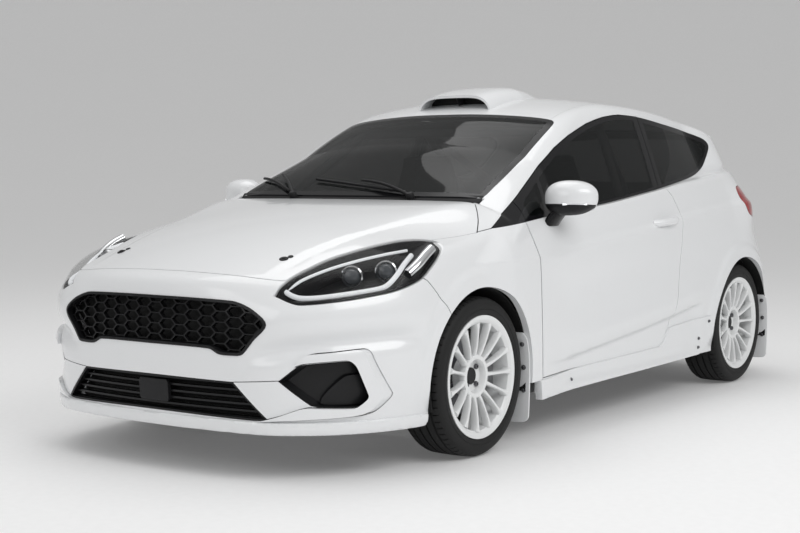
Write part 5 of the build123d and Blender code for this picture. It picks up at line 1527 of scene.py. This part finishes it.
# Door handles
handle_xs = np.linspace(-592, -384, 18)
handle_z = 850.0
path = [(x, float(find_y(x, handle_z)) + 4.0 + 19.0 * (1 - abs((x + 491) / 99.0) ** 4) - 2.0,
         handle_z + (x + 491) * -0.06) for x in handle_xs]
handle = tube("door_handle_left", path, [14.0] + [18.0] * 16 + [14.0], 16)
place_pair(handle, "door_left_leaf", paint)


def grid_solid(name, top, bottom):
    """Closed solid between two grids of points of the same size."""
    top = np.asarray(top, dtype=float)
    bottom = np.asarray(bottom, dtype=float)
    rows, columns = top.shape[:2]
    verts = list(top.reshape(-1, 3)) + list(bottom.reshape(-1, 3))
    n = rows * columns
    faces = []
    for i in range(rows - 1):
        for k in range(columns - 1):
            a = i * columns + k
            faces.append((a, a + 1, a + columns + 1, a + columns))
            faces.append((n + a, n + a + columns, n + a + columns + 1, n + a + 1))
    for k in range(columns - 1):
        a = (rows - 1) * columns + k
        faces.append((k, n + k, n + k + 1, k + 1))
        faces.append((a, a + 1, n + a + 1, n + a))
    for i in range(rows - 1):
        a = i * columns
        b = a + columns - 1
        faces.append((a, a + columns, n + a + columns, n + a))
        faces.append((b, n + b, n + b + columns, b + columns))
    return poly_object(name, verts, faces)


# Roof scoop: an open canopy over a dark duct, with a thin divider in its mouth
def scoop_half(x):
    """Half width along the car."""
    return np.interp(x, (-490, -420, -260, 60), (140, 178, 204, 202))


def scoop_height(x):
    """Height over the roof along the car."""
    return np.interp(x, (-490, -450, -360, -250, -140, 40, 60), (0, 9, 36, 54, 60, 64, 64))


def scoop_form(name, grow, x0, x1, base):
    """Solid under the scoop's skin, drawn in when grow is negative."""
    xs = np.linspace(x0, x1, 40)
    vs = np.linspace(-1, 1, 41)
    x, v = np.meshgrid(xs, vs, indexing="ij")
    half = scoop_half(x) + grow
    y = half * np.sign(v) * np.abs(v) ** 0.85
    roof = find_z(x, y)
    lift = (scoop_height(x) + grow) * (1 - np.abs(v) ** 5) ** 0.8
    return grid_solid(name, np.stack([x, y, roof + lift], axis=2), np.stack([x, y, roof + base], axis=2))


def scoop_shell():
    """Canopy of the scoop: skin above, hollow below, open at the front."""
    x, v = np.meshgrid(np.linspace(-486, 38, 48), np.linspace(-1, 1, 49), indexing="ij")
    half = scoop_half(x)
    across = np.sign(v) * np.abs(v) ** 0.85
    arch = (1 - np.abs(v) ** 5) ** 0.8
    top_y = half * across
    low_y = (half - 9) * across
    top = find_z(x, top_y) + scoop_height(x) * arch - 3 * np.abs(v) ** 8
    hollow = np.clip((x + 220) / 60, 0, 1)
    low = find_z(x, low_y) - 8 + hollow * ((scoop_height(x) - 9) * arch + 5)
    low = np.minimum(low, top - 2)
    return grid_solid("roof_scoop", np.stack([x, top_y, top], axis=2), np.stack([x, low_y, low], axis=2))


scoop = smooth_by_angle(scoop_shell(), 40)
place(scoop, "body", paint, ("roof_vent",))
duct = scoop_form("scoop_duct", -9.6, -130, -60, -4)
place(smooth_by_angle(duct, 40), "body", black_deep)
divider_foot = find_z(np.array([-10.0, -70.0]), np.zeros(2))
divider_line = [(-10, divider_foot[0] + 3), (28, divider_foot[0] + 52), (-70, divider_foot[1] + 54),
                (-70, divider_foot[1] + 3)]
divider = prism(divider_line, "y", -2.5, 2.5)
divider.name = "scoop_divider"
place(rounded(divider, 1.0, 2, 40), "body", black_matt)

# Roof spoiler on the tailgate
span = np.linspace(-540, 540, 61)
chord = np.linspace(0, 1, 16)
top = []
under = []
for y in span:
    share = abs(y) / 540.0
    lead_x = -1524.0 - 18 * share ** 4
    lead_z = float(find_z(-1516.0, min(abs(y), 470.0))) - 55.0 * max(share - 0.87, 0) / 0.13
    tip_x = -1742.0 + 78 * share ** 3
    tip_z = 1340.0 - 52 * share ** 2.2 - 12 * max(share - 0.87, 0) / 0.13
    line = []
    low = []
    for t in chord:
        x = lead_x + (tip_x - lead_x) * t
        z = lead_z + (tip_z - lead_z) * t + 8.0 * math.sin(math.pi * min(t * 1.2, 1.0)) - 1.0
        thick = 6.0 + 26.0 * (1 - t) ** 0.6 + 8 * t
        line.append((x, y, z))
        low.append((x, y, z - thick))
    top.append(line)
    under.append(low)
spoiler = grid_solid("roof_spoiler_blade", top, under)
rounded(spoiler, 5.0, 3, 50)
place(spoiler, "tailgate_lid", paint, ("roof_spoiler",))
brake_line = [(-1690.0, y, 1318.0 - 0.00001 * y * y) for y in np.linspace(-130, 130, 14)]
brake_lamp = tube("high_brake_lamp", brake_line, 6.0, 10)
place(brake_lamp, "tailgate_lid", lens_red)

# Rear valance and reflectors
valance_layer = layer("valance_layer", (-2060, -1860, -418, 418, 206, 328), 12.0, 10.0, 30.0)
valance = carve("rear_valance", valance_layer, (box_tool(-2200, -1700, -417, 417, 200, 327),))
smooth_by_angle(valance, 35)
place(valance, "body", black_matt)
fin_layer = layer("fin_layer", (-2060, -1860, -240, 240, 212, 324), 12.0, -2.0, 14.0)
ribs = [box_tool(-2040, -1960, y - 4, y + 4, 214, 322) for y in (-180, -60, 60, 180)]
fins = [carve("fin", fin_layer, (rib,)) for rib in ribs]
place(smooth_by_angle(join("valance_fins", fins), 35), "body", black_matt)
reflector_layer = layer("reflector_layer", (-2060, -1800, 400, 760, 380, 460), 9.0, -2.0, 10.0)
reflector_tool = prism([(500, 404), (650, 410), (650, 432), (500, 426)], "x", -2200, -1700)
reflector = carve("rear_reflector_left", reflector_layer, (reflector_tool,))
rounded(reflector, 2.0, 2, 45)
place_pair(reflector, "body", lens_red)


# Mud flaps with their bolts, against the rear edge of each arch
FLAP_RADIUS = 341.0


def slice_at(thing, z):
    """Adds a ring of edges round a solid at one height."""
    shape = bmesh.new()
    shape.from_mesh(thing.data)
    everything = list(shape.verts) + list(shape.edges) + list(shape.faces)
    bmesh.ops.bisect_plane(shape, geom=everything, plane_co=(0, 0, z * 0.001), plane_no=(0, 0, 1))
    shape.to_mesh(thing.data)
    shape.free()


def flap(name, axle, y0, y1, z0, z1):
    outline = spline([(y0 + 6, z1), (y0 + 6, z1), (y0, z1 - 20), (y0 + 4, z0 + 24), (y0 + 24, z0),
                      (y1 - 24, z0 + 2), (y1 - 4, z0 + 26), (y1, z1 - 30), (y1 - 14, z1), (y1 - 14, z1)],
                     per=12)
    thing = prism(outline, "x", 1.0, 9.0)
    thing.name = name
    for z in range(int(z0) + 30, int(z1), 24):
        slice_at(thing, z)
    p = points_of(thing)
    rise = np.maximum(p[:, 2] - HUB_Z, 0)
    p[:, 0] += axle - np.sqrt(FLAP_RADIUS ** 2 - rise ** 2)
    move_points(thing, p)
    return rounded(thing, 2.5, 2, 50)


def bolt(x, y, z, facing, radius=7.0):
    return turned([(0, -4), (radius + 3, -4), (radius + 3, 1.5), (radius, 2.5), (radius, 6.5),
                   (radius - 1.5, 8), (0, 8)],
                  (x, y, z), facing, 24)


flap_bolts = []
for word, axle, y0, y1, z0 in (("front", FRONT_AXLE_X, 752, 868, 86), ("rear", REAR_AXLE_X, 684, 862, 92)):
    left = flap("mud_flap_" + word + "_left", axle, y0, y1, z0, 448 if word == "front" else 430)
    place_pair(left, "body", paint, ("mud_flaps",) if word == "front" else ())
    for z in (400, 306, 215):
        x = axle - math.sqrt(FLAP_RADIUS ** 2 - max(z - HUB_Z, 0) ** 2) + 9.5
        flap_bolts.append(bolt(x, y1 - 26, z, (1, 0, 0)))
skirt_bolts = []
for x, z in ((418, 214), (-853, 272), (-854, 228), (-946, 350)):
    skirt_bolts.append(bolt(x, float(find_y(x, z)) + 8, z, (0, 1, 0.05), 6.0))
fixings = join("body_bolts_left", flap_bolts + skirt_bolts)
smooth_by_angle(fixings, 35)
place_pair(fixings, "body", steel)

# Bonnet pins
pins = []
for y in (414, -414):
    x = 1768.0
    z = float(find_z(x, y))
    facing = (0.32, 0.1 * math.copysign(1, y), 1)
    pins.append(turned([(0, -6), (17, -6), (17, 1.5), (15.5, 3), (9, 3.5), (8, 6), (4, 7), (0, 7)],
                       (x, y, z), facing, 40))
    pins.append(turned([(0, -6), (10, -6), (10, 1.5), (9, 3), (0, 3.5)],
                       (x - 24, y + 12, float(find_z(x - 24, y + 12))), facing, 32))
place(smooth_by_angle(join("bonnet_pins", pins), 35), "bonnet_lid", black_matt)


# Wipers along the foot of the screen
def on_screen(x, y, lift):
    return (x, y, float(find_z(x, y, field=glass_field)) + lift)


wiper_bits = []
for y_pivot, y_tip, x_tip in ((300, -290, 700), (-330, -640, 648)):
    pivot = on_screen(818, y_pivot, 14)
    tip = on_screen(x_tip + 30, (y_pivot + y_tip) / 2 - 20, 26)
    bow = np.array((0.0, 0.0, 14.0))
    arm = np.array([np.array(pivot) * (1 - t) + np.array(tip) * t + bow * math.sin(math.pi * t)
                    for t in np.linspace(0, 1, 14)])
    wiper_bits.append(tube("arm", arm, np.linspace(8, 5, 14), 10))
    blade = [on_screen(790 - (790 - x_tip) * t, y_pivot - 40 + (y_tip - y_pivot + 40) * t, 13)
             for t in np.linspace(0, 1, 24)]
    wiper_bits.append(tube("blade", blade, 6.0, 8))
    wiper_bits.append(turned([(0, -16), (17, -16), (17, 8), (12, 14), (0, 14)], pivot, (0.4, 0, 1), 24))
wipers = join("wipers", wiper_bits)
place(smooth_by_angle(wipers, 40), "body", black_matt)

# Seats: a hard shell with sewn pads, drawn for the driver and mirrored
SEAT_Y = 345.0
seat_path = spline([(262, 448), (200, 430), (60, 396), (-60, 372), (-150, 372), (-196, 430), (-222, 560),
                    (-262, 760), (-306, 960), (-310, 1060), (-296, 1160)], closed=False, per=8)
seat_way = np.gradient(seat_path, axis=0)
seat_way /= np.linalg.norm(seat_way, axis=1)[:, None]
seat_up = np.stack([-seat_way[:, 1], seat_way[:, 0]], axis=1) * -1.0
seat_length = np.concatenate([[0], np.cumsum(np.linalg.norm(np.diff(seat_path, axis=0), axis=1))])
seat_share = seat_length / seat_length[-1]


def seat_point(share, side, lift):
    """Point on the seat: share of the way up, distance from its middle, lift off the shell."""
    x = np.interp(share, seat_share, seat_path[:, 0]) + lift * np.interp(share, seat_share, seat_up[:, 0])
    z = np.interp(share, seat_share, seat_path[:, 1]) + lift * np.interp(share, seat_share, seat_up[:, 1])
    return (x, SEAT_Y + side, z)


def wing(share, side):
    """How far the shell curls up at its sides."""
    tall = np.interp(share, (0, 0.2, 0.38, 0.5, 0.62, 0.78, 0.86, 1.0), (58, 78, 96, 120, 130, 100, 70, 64))
    half = np.interp(share, (0, 0.3, 0.5, 0.7, 0.82, 0.9, 1.0), (236, 240, 240, 238, 190, 168, 130))
    return tall * max(abs(side) - 0.62, 0) ** 1.5 / 0.38 ** 1.5, half


rows = np.linspace(0, 1, 56)
across = np.linspace(-1, 1, 41)
shell_in = []
shell_out = []
for share in rows:
    line_in = []
    line_out = []
    for v in across:
        lift, half = wing(share, v)
        line_in.append(seat_point(share, v * half, lift))
        line_out.append(seat_point(share, v * (half + 7), lift - 16 + 8 * abs(v) ** 6))
    shell_in.append(line_in)
    shell_out.append(line_out)
seat_shell = grid_solid("seat_shell_left", shell_in, shell_out)
rounded(seat_shell, 4.0, 2, 50)
place_pair(seat_shell, "body", black_gloss, ("seats",))


def pad(name, start, stop, half, thick, seams):
    """Crowned cushion whose sides pull in, with sewn channels across it."""
    rows = np.linspace(0, 1, 40)
    across = np.linspace(-1, 1, 33)
    top = []
    under = []
    for r in rows:
        share = start + (stop - start) * r
        pull = 1 - 0.05 * math.sin(math.pi * r)
        top_line = []
        low_line = []
        for v in across:
            edge = (1 - abs(v) ** 6) ** 0.5 * (1 - abs(2 * r - 1) ** 8) ** 0.5
            sewn = sum(math.exp(-((r - s) / 0.014) ** 2) for s in seams)
            lift, width = wing(share, v * half / 240.0)
            height = thick * edge * (1 - 0.34 * min(sewn, 1.0)) + 5.0 * edge * math.cos(v * math.pi / 2)
            top_line.append(seat_point(share, v * half * pull, lift + 2.0 + max(height, 0.6)))
            low_line.append(seat_point(share, v * half * pull, lift + 1.5))
        top.append(top_line)
        under.append(low_line)
    return smooth_by_angle(grid_solid(name, top, under), 60)


for name, start, stop, half, thick, seams in (("seat_pad_base", 0.02, 0.30, 172, 34, (0.25, 0.5, 0.75)),
                                              ("seat_pad_back", 0.40, 0.76, 165, 32, (0.2, 0.4, 0.6, 0.8)),
                                              ("seat_pad_head", 0.84, 0.98, 112, 28, ())):
    left = pad(name + "_left", start, stop, half, thick, seams)
    right = mirrored(left, name + "_right")
    for thing in (left, right):
        place(thing, "body", cloth)
rails = [box_tool(-200, 220, y - 12, y + 12, 222, 345) for y in (170, 520)]
rail = rounded(join("seat_rails_left", rails), 3.0)
place_pair(rail, "body", chassis)

# CAD pieces that stay in view get their finish and softened edges
finish_of = {"underbody": chassis, "front_subframe": chassis, "engine_block": alloy, "sump_guard": alloy,
             "rear_axle_beam": chassis, "exhaust": steel, "roll_cage": cage_grey, "dashboard": carbon,
             "steering_wheel": suede}
for side in ("left", "right"):
    finish_of["front_knuckle_" + side] = alloy
    finish_of["brake_disc_front_" + side] = steel
    finish_of["brake_disc_rear_" + side] = steel
for thing in list(bpy.data.objects):
    if thing.type != "MESH":
        continue
    for node, mat in finish_of.items():
        if thing.name == node or thing.name.startswith(node + "."):
            paint_piece(thing, mat)
            step = thing.modifiers.new("soft edges", "BEVEL")
            step.width = 0.003
            step.segments = 2
            step.limit_method = "ANGLE"
            step.angle_limit = math.radians(40)

# Working solids that only cut others
for thing in list(bpy.data.objects):
    if thing.type == "MESH" and thing.name not in cad_pieces and thing.name not in placed:
        drop(thing)


# Stage, light and camera
def stage_floor():
    """Pale floor that sweeps up far behind the car."""
    verts = []
    rows = [(-30.0, 14.0), (-30.0, 10.0), (-29.6, 7.5), (-28.9, 5.4), (-27.9, 3.6), (-26.6, 2.1),
            (-25.0, 1.0), (-23.2, 0.35), (-21.0, 0.0), (-8.0, 0.0), (0.0, 0.0), (8.0, 0.0), (30.0, 0.0),
            (140.0, 0.0)]
    columns = (-140, -80, -40, -20, -12, -6, 0, 6, 12, 20, 40, 80, 140)
    for d, z in rows:
        for w in columns:
            verts.append((d, w, z))
    mesh = bpy.data.meshes.new("studio_floor")
    mesh.from_pydata(verts, [], grid_faces(len(rows), len(columns), flip=True))
    mesh.update()
    mesh.shade_smooth()
    thing = bpy.data.objects.new("studio_floor", mesh)
    bpy.context.scene.collection.objects.link(thing)
    return thing


floor = stage_floor()
floor_mat = shader("floor_pale", (0.80, 0.80, 0.80), 0.75, grain=(30.0, 0.05), spread=0.015, glow=0.12)
paint_piece(floor, floor_mat)
floor.rotation_euler = (0, 0, math.atan2(3.89, 5.446))

world = bpy.data.worlds.new("studio")
bpy.context.scene.world = world
world.use_nodes = True
tree = world.node_tree
back = tree.nodes["Background"]
spot = tree.nodes.new("ShaderNodeTexCoord")
split = tree.nodes.new("ShaderNodeSeparateXYZ")
sky = tree.nodes.new("ShaderNodeValToRGB")
sky.color_ramp.elements[0].position = 0.0
sky.color_ramp.elements[0].color = (0.42, 0.42, 0.42, 1)
sky.color_ramp.elements[1].position = 0.9
sky.color_ramp.elements[1].color = (0.95, 0.95, 0.95, 1)
tree.links.new(spot.outputs["Generated"], split.inputs["Vector"])
tree.links.new(split.outputs["Z"], sky.inputs["Fac"])
tree.links.new(sky.outputs["Color"], back.inputs["Color"])
back.inputs["Strength"].default_value = 0.62


def area(name, spot, aim, size, power):
    lamp = bpy.data.lights.new(name, "AREA")
    lamp.shape = "RECTANGLE"
    lamp.size, lamp.size_y = size
    lamp.energy = power
    thing = bpy.data.objects.new(name, lamp)
    bpy.context.scene.collection.objects.link(thing)
    thing.location = spot
    thing.rotation_euler = (Vector(aim) - Vector(spot)).to_track_quat("-Z", "Y").to_euler()
    return thing


area("key", (2.0, 6.0, 5.0), (0.2, 0.2, 0.5), (6.0, 3.0), 210.0)
area("top", (0.0, -1.5, 6.5), (0.0, 0.0, 0.8), (7.0, 4.0), 120.0)
area("front", (8.0, -1.0, 3.0), (1.5, 0.0, 0.6), (4.0, 3.0), 60.0)

eye = Vector((5.8689, 3.8564, 1.0795))
aim = Vector((0.4226, -0.0334, 0.6563))
lens_data = bpy.data.cameras.new("photo_camera")
lens_data.lens = 66.88
lens_data.sensor_width = 36.0
lens_data.clip_end = 200.0
camera = bpy.data.objects.new("photo_camera", lens_data)
camera.location = eye
camera.rotation_euler = (aim - eye).to_track_quat("-Z", "Y").to_euler()
bpy.context.scene.collection.objects.link(camera)
bpy.context.scene.camera = camera
bpy.context.scene.view_settings.view_transform = "Standard"
